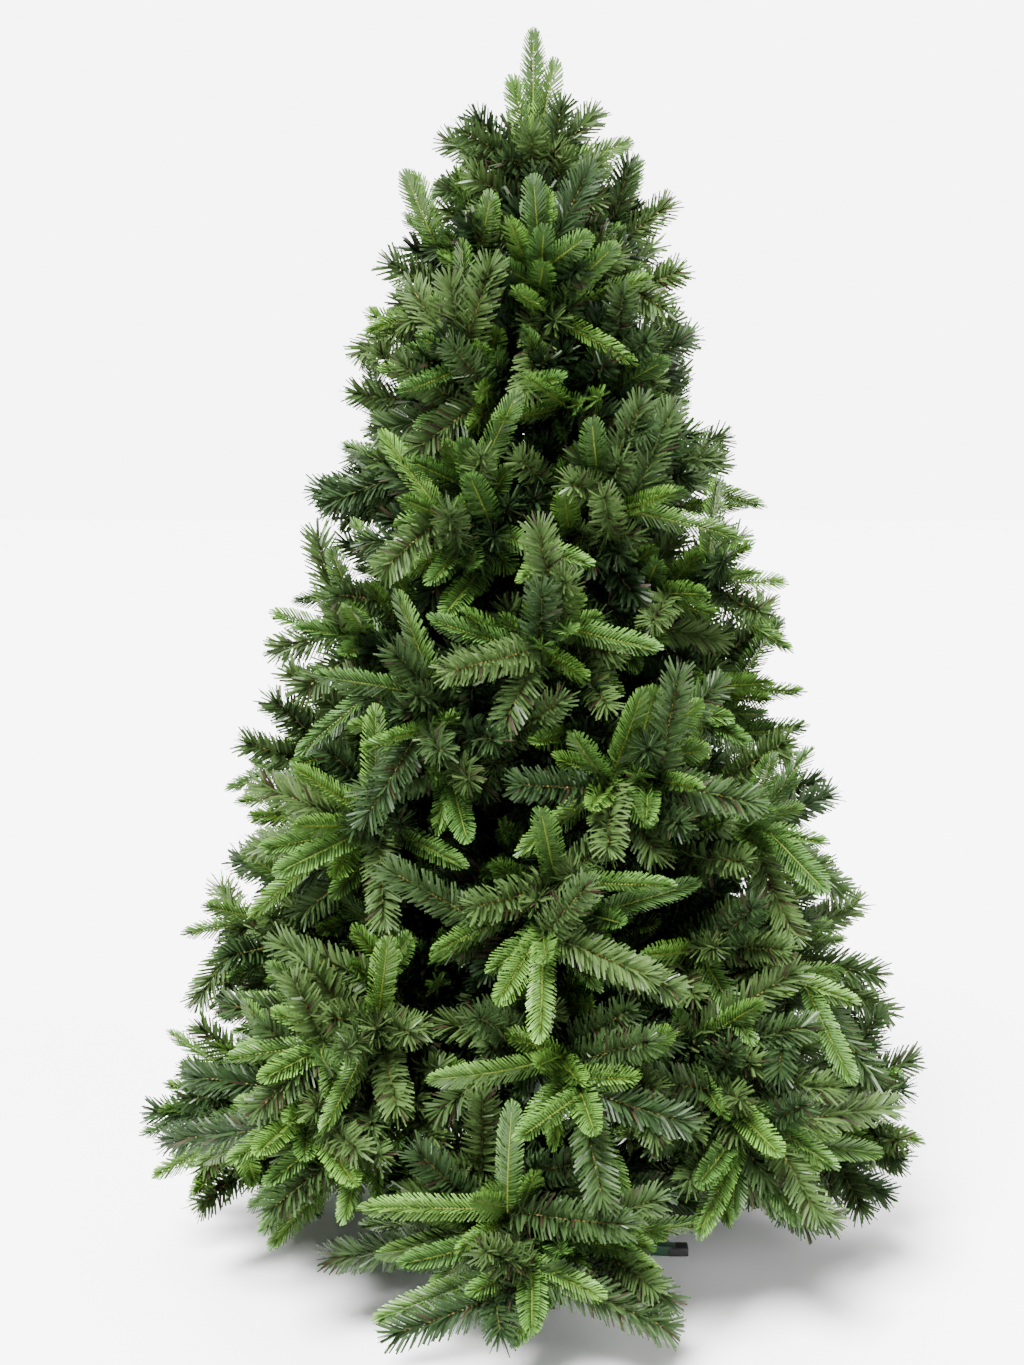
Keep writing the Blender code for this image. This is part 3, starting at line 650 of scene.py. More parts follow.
class MouldedTipSettings(bpy.types.PropertyGroup):
    """Moulded tips, whose needles are flat, blunt and soft."""

    needle_length: length_of("Needle length", "Length of a needle at mid tip", 0.0258)
    needle_width: length_of("Needle width", "Width of a needle near its root", 0.0026)
    spacing: length_of("Spacing", "Distance between needles of a row", 0.0050)
    young: colour_of("Young green", "Lightest tint", (0.085, 0.183, 0.026))
    old: colour_of("Old green", "Darkest tint", (0.043, 0.103, 0.018))
    stem: colour_of("Stem", "Stem of a moulded tip", (0.085, 0.115, 0.012))
    # the root's darker colour is painted shade between the needles
    shade: share_of("Root shade", "Colour of a needle's root against its end", 0.36)
    roughness: share_of("Roughness", "Of the moulded plastic", 0.46)
    gloss: share_of("Gloss", "Strength of its highlights", 0.24)


class FilmTipSettings(bpy.types.PropertyGroup):
    """Film tips, whose cut strips stand out all round a twisted wire."""

    strip_length: length_of("Strip length", "Length of a strip at mid tip", 0.0345)
    strip_width: length_of("Strip width", "Width of a strip near its end", 0.0025)
    spacing: length_of("Spacing", "Distance between whorls of strips", 0.0062)
    light: colour_of("Light film", "Lightest tint", (0.038, 0.067, 0.018))
    dark: colour_of("Dark film", "Darkest tint", (0.014, 0.029, 0.009))
    # A darkened colour, painted shade, for the tips beside the pole and the film along the branch wires.
    inner: colour_of("Inner film", "Film beside the pole", (0.006, 0.014, 0.004))
    brown: colour_of("Brown film", "Some strips are brown", (0.020, 0.015, 0.008))
    # A few strips coloured light as a painted glint, a highlight put into their colour.
    pale: colour_of("Pale film", "A few strips show their pale side", (0.16, 0.21, 0.13))
    wire: colour_of("Twisted wire", "Wire of a film tip", (0.16, 0.12, 0.03))
    roughness: share_of("Roughness", "Of the film", 0.42)
    gloss: share_of("Gloss", "Strength of its highlights", 0.14)


class FrameSettings(bpy.types.PropertyGroup):
    """Wires, pole and stand."""

    wire_radius: length_of("Wire radius", "Branch wire with its wrapping", 0.0038)
    wrap_pitch: length_of("Wrap pitch", "Distance between turns of the wrapping", 0.0075)
    wrapping: colour_of("Wrapping", "Film round a branch wire", (0.055, 0.038, 0.020))
    paint: colour_of("Paint", "Pole and stand", (0.016, 0.050, 0.026))
    rubber: colour_of("Foot caps", "Caps on the stand's feet", (0.012, 0.012, 0.012))
    zinc: colour_of("Screws", "Plated screws", (0.55, 0.56, 0.57))


class StageSettings(bpy.types.PropertyGroup):
    """Floor, light and camera."""

    floor: colour_of("Floor", "Plain floor", (0.88, 0.88, 0.88))
    daylight: strength_of("Surround", "Strength of the even light all round", 0.18)
    backdrop: strength_of("Backdrop", "Brightness of what is seen behind the tree", 6.9)
    key: strength_of("Key light", "Strength of the light at the front", 27.0)
    fill: strength_of("Fill light", "Strength of the light on the other side", 3.6)
    top: strength_of("Top light", "Strength of the light above", 6.5)
    lens: FloatProperty(name="Lens", description="Focal length in millimetres", default=58.4, min=20, max=200)


# ---------------------------------------------------------------- shader maths

class Sock:
    """A shader value that can be written in a sum. Its operators add Math nodes."""

    def __init__(self, finish, socket):
        self.finish, self.socket = finish, socket

    def maths(self, operation, first, second):
        values = [value.socket if isinstance(value, Sock) else value for value in (first, second)]
        return self.finish.node("ShaderNodeMath", {"operation": operation}, dict(enumerate(values)))

    def __add__(self, other):
        return self.maths("ADD", self, other)

    __radd__ = __add__

    def __mul__(self, other):
        return self.maths("MULTIPLY", self, other)

    __rmul__ = __mul__

    def __sub__(self, other):
        return self.maths("SUBTRACT", self, other)

    def __rsub__(self, other):
        return self.maths("SUBTRACT", other, self)

    def over(self, level, softness):
        """0 where this value is under a level and 1 where it is over it."""
        ends = {0: self.socket, 1: level - softness, 2: level + softness}
        return self.finish.node("ShaderNodeMapRange", {"clamp": True}, ends)


class Finish:
    """One material and the nodes that make it."""

    def __init__(self, name):
        self.material = bpy.data.materials.new(name)
        self.material.use_nodes = True
        self.tree = self.material.node_tree
        self.shader = self.tree.nodes["Principled BSDF"]

    def node(self, kind, settings=None, values=None, out=0):
        """Any node, from its type, its settings and the values or links of its sockets."""
        made = self.tree.nodes.new(kind)
        for name, value in (settings or {}).items():
            setattr(made, name, value)
        for key, value in (values or {}).items():
            self.put(made.inputs[key], value)
        return Sock(self, made.outputs[out])

    def put(self, target, value):
        value = value.socket if isinstance(value, Sock) else value
        if isinstance(value, bpy.types.NodeSocket):
            self.tree.links.new(value, target)
        elif target.type == "RGBA" and len(value) == 3:
            target.default_value = (*value, 1)
        else:
            target.default_value = value

    def set(self, **values):
        """Values or links of the Principled shader's own sockets, with _ for a space in a name."""
        for name, value in values.items():
            self.put(self.shader.inputs[name.replace("_", " ")], value)
        return self

    def noise(self, size, detail=3.0, roughness=0.5):
        """Cloudy pattern whose patches are about this large, in metres."""
        place = self.node("ShaderNodeTexCoord", out=3)
        values = {"Vector": place, "Scale": 1 / size, "Detail": detail, "Roughness": roughness}
        return self.node("ShaderNodeTexNoise", None, values)

    def blend(self, part, first, second):
        """Colour between two others."""
        return self.node("ShaderNodeMix", {"data_type": "RGBA"}, {0: part, 6: first, 7: second}, out=2)

    def bump(self, height, depth):
        return self.node("ShaderNodeBump", None, {"Height": height, "Distance": depth, "Strength": 1.0})


def toned(colour, factor, added=0):
    """A colour made lighter or darker."""
    return [channel * factor + added for channel in colour]


def plain(name, colour, roughness, gloss):
    """A finish of one plain colour, as the tips' small parts have."""
    return Finish(name).set(Base_Color=colour, Roughness=roughness, Specular_IOR_Level=gloss).material


def powder_coat(name, colour):
    """Sprayed and baked paint: a fine orange peel, dust in patches and rubbed spots."""
    finish = Finish(name)
    patches, fine = finish.noise(size=0.09, detail=4), finish.noise(size=0.004, detail=2)
    rubbed = finish.noise(size=0.03, detail=6, roughness=0.65).over(level=0.66, softness=0.03)
    dusty = finish.blend(patches * 0.35, colour, toned(colour, factor=1.7, added=0.01))
    finish.set(Base_Color=finish.blend(rubbed * 0.5, dusty, toned(colour, factor=2.4, added=0.02)))
    finish.set(Roughness=patches * 0.25 + 0.26, Metallic=0.15, Normal=finish.bump(fine, depth=0.00025))
    return finish.material


def wrapped(name, colour, pitch):
    """Film wound round a wire: turns that are darker where their bumps are low and lighter where they are
    high, painted shade and painted light, with green where it is worn.
    """
    finish = Finish(name)
    turns = finish.noise(size=pitch * 0.7, detail=2)
    worn = finish.noise(size=0.05, detail=3)
    # Painted shade and light: the same pattern as the bumps, dark where it is low and light where it is high.
    shade = finish.blend(turns, toned(colour, factor=0.55), toned(colour, factor=1.6))
    green = (0.03, 0.055, 0.02)
    finish.set(Base_Color=finish.blend(worn.over(level=0.58, softness=0.08) * 0.4, shade, green))
    finish.set(Roughness=0.62 - turns * 0.25, Normal=finish.bump(turns, depth=0.0004))
    return finish.material


def rubber(name, colour):
    finish = Finish(name)
    grain = finish.noise(size=0.0022, detail=2)
    dusty = toned(colour, factor=2.2, added=0.01)
    finish.set(Base_Color=finish.blend(finish.noise(size=0.03), colour, dusty))
    finish.set(Roughness=grain * 0.2 + 0.62, Normal=finish.bump(grain, depth=0.0002))
    return finish.material


def plated(name, colour):
    finish = Finish(name)
    stain = finish.noise(size=0.006, detail=4)
    finish.set(Base_Color=finish.blend(stain, colour, toned(colour, factor=0.6)), Metallic=1.0)
    finish.set(Roughness=stain * 0.3 + 0.22)
    return finish.material


# ---------------------------------------------------------------- tips as meshes

TIP_STEP = 0.020  # tips are made in lengths that differ by this much
LEAST_STEPS = 2
TIP_VARIANTS = 4  # of each length
TIP_SEEDS = 10  # between the seeds of one length and the next
TIP_BEND = 0.30  # most that a tip curves up from root to end, in radians
TIP_DROOP = 0.12  # and most that it curves down
TINTS = 5
SHRINK, MOST_SHRINKS = 0.96, 8  # a tip that would leave the crown is made smaller, step by step
ROOT_DEPTH = 0.5  # share of a stem's or wire's radius at which needles and strips start

# Moulded tips
ROWS = ((-32, 0.88), (13, 1.0), (60, 0.90))  # degrees above level, and share of the length
NEEDLE_STARTS = 0.04  # of a tip's length
STEM_END = 0.62  # bare length from the stem's end to the tip's, in needle lengths
ROOT_LEAN, MIDDLE_LEAN, END_LEAN = math.radians(62), math.radians(50), math.radians(30)
LEAN_CHANGE = 0.72  # share of the stem after which the needles turn towards its end
LEAST_LEAN = 0.02  # taken for a needle's room, in radians
NEEDLE_OUTLINE = ((0, 1.1), (1, 0.7))  # along, and share of its width
NEEDLE_LENGTHS, NEEDLE_WIDTHS = (0.93, 1.03), (0.88, 1.12)  # least and greatest share
LONGEST_NEEDLE = 1.15  # in needle lengths
SPACING_SWAY = 0.05  # how unevenly the needles are spaced, in shares of the spacing
TURN_SWAY, LEAN_SWAY = 0.06, 0.03  # and how unevenly they stand, in radians
END_FAN = 9  # needles round a tip's end
FAN_LEAN = math.radians(39)
FAN_LIFTS = (0, 0, 30)  # degrees above level, needle after needle
ROUND_ROOT, ROUND_END = 0.25, 0.36  # shares of a tip's length over which it narrows
ROOT_WIDTH = 0.62
REACH_HALVINGS = 14
NEEDLE_CURL = 0.16
NEEDLE_TWIST = 0.25  # how unevenly the needles face
STEM_THICK, STEM_THIN = 0.0018, 0.0009
STEM_RINGS, STEM_SIDES = 5, 4

# Film tips
FIRST_WHORL = 0.002
FILM_ROOT_LEAN, FILM_MIDDLE_LEAN, FILM_END_LEAN = math.radians(64), math.radians(52), math.radians(40)
FILM_LATE = 0.88  # where the strips start to lean towards the end
FILM_END_SHARE = 0.66  # bare length from the wire's end to the tip's, in strip lengths
WHORL = 9  # strips that start at one place of the wire
WHORL_TWIST = 9.0  # radians that the whorls turn in a metre
WHORL_SWAY = 0.0005
STRIP_TURN_SWAY, STRIP_LEAN_SWAY = 0.10, 0.045  # how unevenly the strips stand, in radians
FILM_FAN = 9  # strips at a tip's end
FILM_FAN_LEANS = (0.1, 0.6)
SHORTER = 0.8  # length of the strips of that fan, and of those round a branch's own wire
INNER_SPACING = 1.4  # of the whorls beside the pole
INNER_WIDTH = 1.6  # and how much broader they are
STRIP_OUTLINE = ((0, 1.75), (1, 0.85))  # along, and share of its width
STRIP_LENGTHS, STRIP_WIDTHS = (0.90, 1.03), (0.85, 1.15)  # least and greatest share
STRIP_TAPER = 0.10  # how much shorter they get along a tip
STRIP_CURL, STRIP_CURL_SWAY = 0.10, 0.05
STRIP_TWIST = 0.45  # how unevenly the strips face
GOLDEN_TURN = math.pi * (3 - math.sqrt(5))
# shares of the strips that are brown, and of those that carry a painted glint
BROWN_SHARE, PAINTED_GLINT_SHARE = 0.06, 0.004
WIRE_RADIUS = 0.0012
WIRE_END = 0.004  # how far the wire goes past its last whorl
WIRE_TWIST = 0.013  # length of a sixth of a turn of the twisted wire
WIRE_SIDES = 3
SLEEVE_TURN = 0.1  # from a branch's own direction, so that it never lies along the wire

Template = namedtuple("Template", "corners triangles tones")


def joined(parts):
    """Several sets of corners, triangles and whatever else each corner or triangle has, as one."""
    corners, triangles, *others = zip(*parts)
    starts = numpy.cumsum([0, *(len(own) for own in corners[:-1])])
    triangles = [own + start for own, start in zip(triangles, starts)]
    return [numpy.concatenate(column) for column in (corners, triangles, *others)]


def bands(first, second, sides):
    """The triangles between two rings of corners, which start at these numbers."""
    found = []
    for side in range(sides):
        other = (side + 1) % sides
        far = second + other
        found += [(first + side, first + other, far), (first + side, far, second + side)]
    return found


def blades(roots, along, across, lengths, widths, curls, outline):
    """Flat blades as corners and triangles. Their outline is given as (share of length, of width)."""
    forward = numpy.array([1.0, 0, 0])
    columns, faces = [], []
    for s, wide in outline:
        middle = roots + along * (lengths * s)[:, None] + forward * (curls * lengths * s * s)[:, None]
        half = across * (widths * wide / 2)[:, None]
        columns += [middle - half, middle + half]
    for n in range(0, len(columns) - 2, 2):
        faces += [(n, n + 1, n + 3), (n, n + 3, n + 2)]
    corners = numpy.stack(columns, 1)
    triangles = numpy.array(faces) + (numpy.arange(len(roots)) * len(columns))[:, None, None]
    return corners.reshape(-1, 3), triangles.reshape(-1, 3)


def tube(length, rings, thick, thin, sides, twist=0.0):
    """A tube along X, which narrows from thick to thin and is open at its ends."""
    turns = numpy.arange(sides) * 2 * math.pi / sides
    corners, faces = [], []
    places = zip(numpy.linspace(0, length, rings), numpy.linspace(thick, thin, rings))
    for number, (x, radius) in enumerate(places):
        turn = turns + number * twist
        ring = numpy.stack((numpy.zeros(sides), numpy.cos(turn), numpy.sin(turn)), 1) * radius
        corners.append(ring + (x, 0, 0))
        if number:
            faces += bands((number - 1) * sides, number * sides, sides)
    return numpy.concatenate(corners), numpy.array(faces)


def curved(corners, length, bend):
    """These corners, with the tip's X axis curved up by an angle."""
    curve = bend / length if abs(bend) > ROUNDING else ROUNDING
    turn = corners[:, 0] * curve
    x = numpy.sin(turn) / curve - corners[:, 2] * numpy.sin(turn)
    z = (1 - numpy.cos(turn)) / curve + corners[:, 2] * numpy.cos(turn)
    return numpy.stack((x, corners[:, 1], z), 1)


def leans_at(part, change, root, middle, end):
    """Angles from the stem, changing from root to middle up to a share of it, and then to the end."""
    late = numpy.clip((part - change) / (1 - change), 0, 1)
    return mix(mix(root, middle, numpy.minimum(part / change, 1)), end, late)


def stood_out(lean, out_y, out_z, facing, twist, rng):
    """Directions along and across blades that lean from X towards out and face about one way."""
    along = numpy.stack((numpy.cos(lean), numpy.sin(lean) * out_y, numpy.sin(lean) * out_z), 1)
    across = numpy.cross(facing + rng.normal(0, twist, facing.shape), along)
    return along, across / numpy.linalg.norm(across, axis=1)[:, None]


def width_share(s):
    """Half width of a moulded tip along its length, against its greatest."""
    root = 1 - (1 - ROOT_WIDTH) * numpy.clip(1 - s / ROUND_ROOT, 0, 1) ** 2
    end = numpy.sqrt(numpy.clip(1 - numpy.clip((s - 1 + ROUND_END) / ROUND_END, 0, 1) ** 2, 0, 1))
    return root * end


def reach_within(x, lean, length, half_width):
    """How long needles may be, from these places at these angles, to end in the tip's outline."""
    low, high = numpy.zeros(len(x)), numpy.full(len(x), length)
    for _ in range(REACH_HALVINGS):
        middle = (low + high) / 2
        ahead = x + middle * numpy.cos(lean)
        inside = (middle * numpy.sin(lean) < half_width * width_share(ahead / length)) & (ahead < length)
        low, high = numpy.where(inside, middle, low), numpy.where(inside, high, middle)
    return low


def moulded_tip(settings, length, seed):
    """A moulded tip: rows of blunt needles on both sides of a stem and over it, closed by a fan."""
    rng = numpy.random.default_rng(seed)
    half_width = settings.needle_length * math.sin(MIDDLE_LEAN)
    reach = length - settings.needle_length * STEM_END
    steps = numpy.arange(length * NEEDLE_STARTS, reach, settings.spacing)
    rows = [(side, *row) for row in ROWS for side in (-1, 1)]
    x = numpy.repeat(steps, len(rows))
    x = numpy.append(x + rng.normal(0, settings.spacing * SPACING_SWAY, len(x)), numpy.full(END_FAN, reach))
    count = len(x)
    side, lift, part_length = [numpy.tile(column, len(steps)).astype(float) for column in zip(*rows)]
    side = numpy.append(side, numpy.where(numpy.arange(END_FAN) % 2, 1, -1))
    lift = numpy.radians(numpy.append(lift, numpy.tile(FAN_LIFTS, END_FAN)[:END_FAN]))
    lift = lift + rng.normal(0, TURN_SWAY, count)
    part_length = numpy.append(part_length, numpy.ones(END_FAN))
    lean = leans_at(numpy.clip(x / reach, 0, 1), LEAN_CHANGE, ROOT_LEAN, MIDDLE_LEAN, END_LEAN)
    lean[-END_FAN:] = numpy.linspace(0, FAN_LEAN, END_FAN)
    lean = lean + rng.normal(0, LEAN_SWAY, count)
    size = reach_within(x, numpy.maximum(lean, LEAST_LEAN), length, half_width)
    size = numpy.minimum(size, settings.needle_length * LONGEST_NEEDLE) * part_length
    size = size * rng.uniform(*NEEDLE_LENGTHS, count)
    out_y, out_z = side * numpy.cos(lift), numpy.sin(lift)
    facing = numpy.stack((numpy.zeros(count), -out_z * side, numpy.abs(out_y)), 1)
    along, across = stood_out(lean, out_y, out_z, facing, NEEDLE_TWIST, rng)
    roots = numpy.stack((x, out_y * STEM_THICK * ROOT_DEPTH, out_z * STEM_THICK * ROOT_DEPTH), 1)
    widths = settings.needle_width * rng.uniform(*NEEDLE_WIDTHS, count)
    needles = blades(roots, along, across, size, widths, numpy.full(count, NEEDLE_CURL), NEEDLE_OUTLINE)
    # A needle has a root and an end in tones 0 and 1. The root's darker colour is painted shade, and the
    # lower needles take it all along, painted shade under the tip.
    tones = numpy.where(lift[:, None] < 0, 0, numpy.array([0, 1])).ravel()
    stem = tube(reach, STEM_RINGS, STEM_THICK, STEM_THIN, STEM_SIDES)
    return Template(*joined([(*needles, tones), (*stem, numpy.full(len(stem[1]), 2))]))


def film_tip(settings, length, seed, kind):
    """A film tip: strips all round a twisted wire. A sleeve has no closed end."""
    rng = numpy.random.default_rng(seed)
    sleeve, dark = kind == "sleeve", kind in ("sleeve", "inner")
    reach = length if sleeve else length - settings.strip_length * FILM_END_SHARE
    steps = numpy.arange(FIRST_WHORL, reach, settings.spacing * (INNER_SPACING if dark else 1))
    x = numpy.repeat(steps, WHORL)
    turn = numpy.tile(numpy.arange(WHORL) * 2 * math.pi / WHORL, len(steps)) + x * WHORL_TWIST
    if not sleeve:
        x = numpy.append(x, numpy.full(FILM_FAN, reach))
        turn = numpy.append(turn, numpy.arange(FILM_FAN) * GOLDEN_TURN)
    count = len(x)
    x, turn = x + rng.normal(0, WHORL_SWAY, count), turn + rng.normal(0, STRIP_TURN_SWAY, count)
    part = numpy.clip(x / reach, 0, 1)
    if sleeve:
        lean = numpy.full(count, FILM_ROOT_LEAN)
    else:
        lean = leans_at(part, FILM_LATE, FILM_ROOT_LEAN, FILM_MIDDLE_LEAN, FILM_END_LEAN)
        lean[-FILM_FAN:] = rng.uniform(*FILM_FAN_LEANS, FILM_FAN)
    lean = lean + rng.normal(0, STRIP_LEAN_SWAY, count)
    size = settings.strip_length * rng.uniform(*STRIP_LENGTHS, count) * (1 - STRIP_TAPER * part)
    size[0 if sleeve else -FILM_FAN:] *= SHORTER
    out_y, out_z = numpy.cos(turn), numpy.sin(turn)
    facing = numpy.stack((numpy.zeros(count), -out_z, out_y), 1)
    along, across = stood_out(lean, out_y, out_z, facing, STRIP_TWIST, rng)
    roots = numpy.stack((x, out_y * WIRE_RADIUS * ROOT_DEPTH, out_z * WIRE_RADIUS * ROOT_DEPTH), 1)
    widths = settings.strip_width * rng.uniform(*STRIP_WIDTHS, count) * (INNER_WIDTH if dark else 1)
    curls = rng.normal(STRIP_CURL, STRIP_CURL_SWAY, count)
    strips = blades(roots, along, across, size, widths, curls, STRIP_OUTLINE)
    # Tone 1 makes a strip brown; tone 2 gives it the light colour of a painted glint.
    draw = rng.uniform(0, 1, count)
    tone = numpy.where(draw < BROWN_SHARE, 1, numpy.where(draw > 1 - PAINTED_GLINT_SHARE, 2, 0))
    rings = max(2, int(reach / WIRE_TWIST))
    wire = tube(reach + WIRE_END, rings, WIRE_RADIUS, WIRE_RADIUS, WIRE_SIDES, math.pi / WIRE_SIDES)
    tones = numpy.repeat(tone, len(strips[1]) // count)
    return Template(*joined([(*strips, tones), (*wire, numpy.full(len(wire[1]), 3))]))


class TipMaker:
    """Makes tips from templates of a few lengths, each made once."""

    def __init__(self, moulded, film):
        self.moulded, self.film, self.made = moulded, film, {}

    def template(self, kind, length, variant):
        steps = max(LEAST_STEPS, round(length / TIP_STEP))
        key = (kind, steps, variant)
        if key not in self.made:
            size, seed = steps * TIP_STEP, TIP_SEEDS * steps + variant
            if kind == "moulded":
                template = moulded_tip(self.moulded, size, seed)
            else:
                template = film_tip(self.film, size, seed, kind)
            bend = 0 if kind == "sleeve" else random.Random(seed).uniform(-TIP_DROOP, TIP_BEND)
            self.made[key] = template._replace(corners=curved(template.corners, size, bend)), size
        return self.made[key]

    def corners(self, tip):
        """The corners of one tip in place, with its template."""
        template, size = self.template(tip.kind, tip.length, tip.seed % TIP_VARIANTS)
        across = squared(tip.across, tip.along)
        up = tip.along.cross(across)
        # A tip's up side is turned upward, so that it bends up and a moulded tip's lower needles, with their
        # painted shade, lie under it.
        if up.z < 0 and tip.kind != "sleeve":
            across, up = -across, -up
        axes = numpy.array((tip.along, across, up))
        scale = tip.length / size
        for _ in range(MOST_SHRINKS):
            corners = template.corners @ axes * scale + numpy.array(tip.root)
            widest = numpy.hypot(corners[:, 0], corners[:, 1]).max()
            if widest < CROWN_RADIUS and corners[:, 2].max() < TREE_HEIGHT:
                break
            scale *= SHRINK
        return corners, template


def mesh_of(name, corners, triangles, slots, finishes):
    """A mesh object from arrays of corners, triangles and material slots."""
    mesh = bpy.data.meshes.new(name)
    mesh.vertices.add(len(corners))
    mesh.vertices.foreach_set("co", numpy.asarray(corners, numpy.float32).ravel())
    mesh.loops.add(3 * len(triangles))
    mesh.loops.foreach_set("vertex_index", numpy.asarray(triangles, numpy.int32).ravel())
    mesh.polygons.add(len(triangles))
    mesh.polygons.foreach_set("loop_start", numpy.arange(0, 3 * len(triangles), 3, dtype=numpy.int32))
    mesh.polygons.foreach_set("material_index", numpy.asarray(slots, numpy.int32))
    for finish in finishes:
        mesh.materials.append(finish)
    mesh.update(calc_edges=True)
    return object_of(name, mesh)


def plain_mesh(name, corners, triangles, finish):
    return mesh_of(name, corners, triangles, numpy.zeros(len(triangles)), [finish])


def object_of(name, data):
    """An object in the scene, from its mesh, light or camera."""
    made = bpy.data.objects.new(name, data)
    bpy.context.scene.collection.objects.link(made)
    return made


def mesh_from(bm, name):
    """A mesh made from a finished bmesh."""
    mesh = bpy.data.meshes.new(name)
    bm.to_mesh(mesh)
    bm.free()
    return mesh


def dress(piece, nodes):
    """Let a piece ride on the tree and stand for these nodes, which are hidden."""
    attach(piece, "root")
    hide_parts(*nodes)


def tints(first, second):
    """Evenly spaced colours from one to another."""
    return [[mix(a, b, n / (TINTS - 1)) for a, b in zip(first, second)] for n in range(TINTS)]


def tint_of(tip):
    """The number of a tip's tint, which all the tips of its spray share."""
    return random.Random(tip.seed // SPRAY_SEEDS).randrange(TINTS)


def foliage_group(name):
    """The tier that a mass belongs to, or top."""
    return name.split("_foliage")[0]


def sleeves(branch):
    """The film that is wound into a branch's own wire, between its tips."""
    line = branch.line[1 if branch.tier < BOUGH_TIERS else 0:]
    found = []
    for number, (start, end) in enumerate(zip(line, line[1:])):
        along = unit(end - start)
        across = along.cross(outward(branch.azimuth + SLEEVE_TURN))
        found.append(Tip("sleeve", start, along, across, (end - start).length, branch.seed + number))
    return found


def add_tips(label, kinds, maker, finishes, slot_of):
    """Make the tips of these kinds, one piece for each tier. Their slots come from tip and tones."""
    all_branches, tips = grown_crown()
    groups = {}
    for name, own in tips.items():
        nodes, found = groups.setdefault(foliage_group(name), ([], []))
        nodes.append(name)
        found += [tip for tip in own if tip.kind in kinds]
    if "sleeve" in kinds:
        for branch in all_branches:
            groups[foliage_group(branch.name)][1].extend(sleeves(branch))
    for group, (nodes, found) in groups.items():
        parts = []
        for tip in found:
            corners, template = maker.corners(tip)
            parts.append((corners, template.triangles, slot_of(tip, template.tones)))
        dress(mesh_of(f"{label}_{group}", *joined(parts), finishes), nodes)


class TREE_OT_moulded_tips(bpy.types.Operator):
    """Add the moulded tips, tier by tier"""

    bl_idname = "tree.moulded_tips"
    bl_label = "Moulded Tips"

    def execute(self, context):
        settings = context.scene.tree_moulded
        look = (settings.roughness, settings.gloss)
        finishes = []
        for number, colour in enumerate(tints(settings.young, settings.old)):
            # The root colour is the end's colour darkened by the root shade: painted shade.
            finishes.append(plain(f"moulded_needle_root_{number + 1}", toned(colour, settings.shade), *look))
            finishes.append(plain(f"moulded_needle_end_{number + 1}", colour, *look))
        finishes.append(plain("moulded_stem", settings.stem, *look))

        def slot_of(tip, tones):
            return numpy.where(tones == 2, 2 * TINTS, 2 * tint_of(tip) + tones)

        maker = TipMaker(settings, context.scene.tree_film)
        add_tips("moulded_tips", ("moulded",), maker, finishes, slot_of)
        return {"FINISHED"}


class TREE_OT_film_tips(bpy.types.Operator):
    """Add the film tips and the film along the branch wires, tier by tier"""

    bl_idname = "tree.film_tips"
    bl_label = "Film Tips"

    def execute(self, context):
        settings = context.scene.tree_film
        named = {f"film_{n + 1}": colour for n, colour in enumerate(tints(settings.light, settings.dark))}
        named.update(film_inner=settings.inner, film_brown=settings.brown)
        named.update(film_pale=settings.pale, twisted_wire=settings.wire)
        look = (settings.roughness, settings.gloss)
        finishes = [plain(name, colour, *look) for name, colour in named.items()]

        def slot_of(tip, tones):
            # Film tips take their spray's tint; inner tips and sleeves take the inner film colour, painted
            # shade; tones 1 to 3 take brown, the painted glint and the wire.
            return numpy.where(tones == 0, tint_of(tip) if tip.kind == "film" else TINTS, TINTS + tones)

        maker = TipMaker(context.scene.tree_moulded, settings)
        add_tips("film_tips", ("film", "inner", "sleeve"), maker, finishes, slot_of)
        return {"FINISHED"}


# ---------------------------------------------------------------- branch wires

RIB_SHARE = 0.16  # how far the turns of the wrapping stand out, in shares of the wire's radius
RIB_LOW = 0.3  # where in a turn of the wrapping it lies lowest
INNER_SIDES, BOUGH_SIDES = 6, 12
INNER_RINGS, BOUGH_RINGS = 3, 8  # rings of corners in one turn of the wrapping
BOUGH_THIN = 0.92  # a bare bough's thickness at its end, in shares of its start
INNER_THICK, INNER_THIN, TOP_THIN = 0.90, 0.55, 0.60  # the same for the wires in the foliage
ASKEW = (0.1, 0.2, 1.0)  # a direction that no wire takes
SMOOTH_ANGLE, TURNED_ANGLE, LEG_ANGLE = 50, 40, 35  # edges sharper than this many degrees stay sharp


def smooth_line(points, step):
    """A smooth curve through points, as places about a step apart."""
    ends = [points[0] * 2 - points[1], *points, points[-1] * 2 - points[-2]]
    found = []
    for a, b, c, d in zip(ends, ends[1:], ends[2:], ends[3:]):
        count = max(1, int((c - b).length / step))
        square, cube = 2 * a - 5 * b + 4 * c - d, 3 * b - a - 3 * c + d
        for n in range(count):
            s = n / count
            found.append(0.5 * (2 * b + (c - a) * s + square * s * s + cube * s ** 3))
    return [*found, points[-1]]


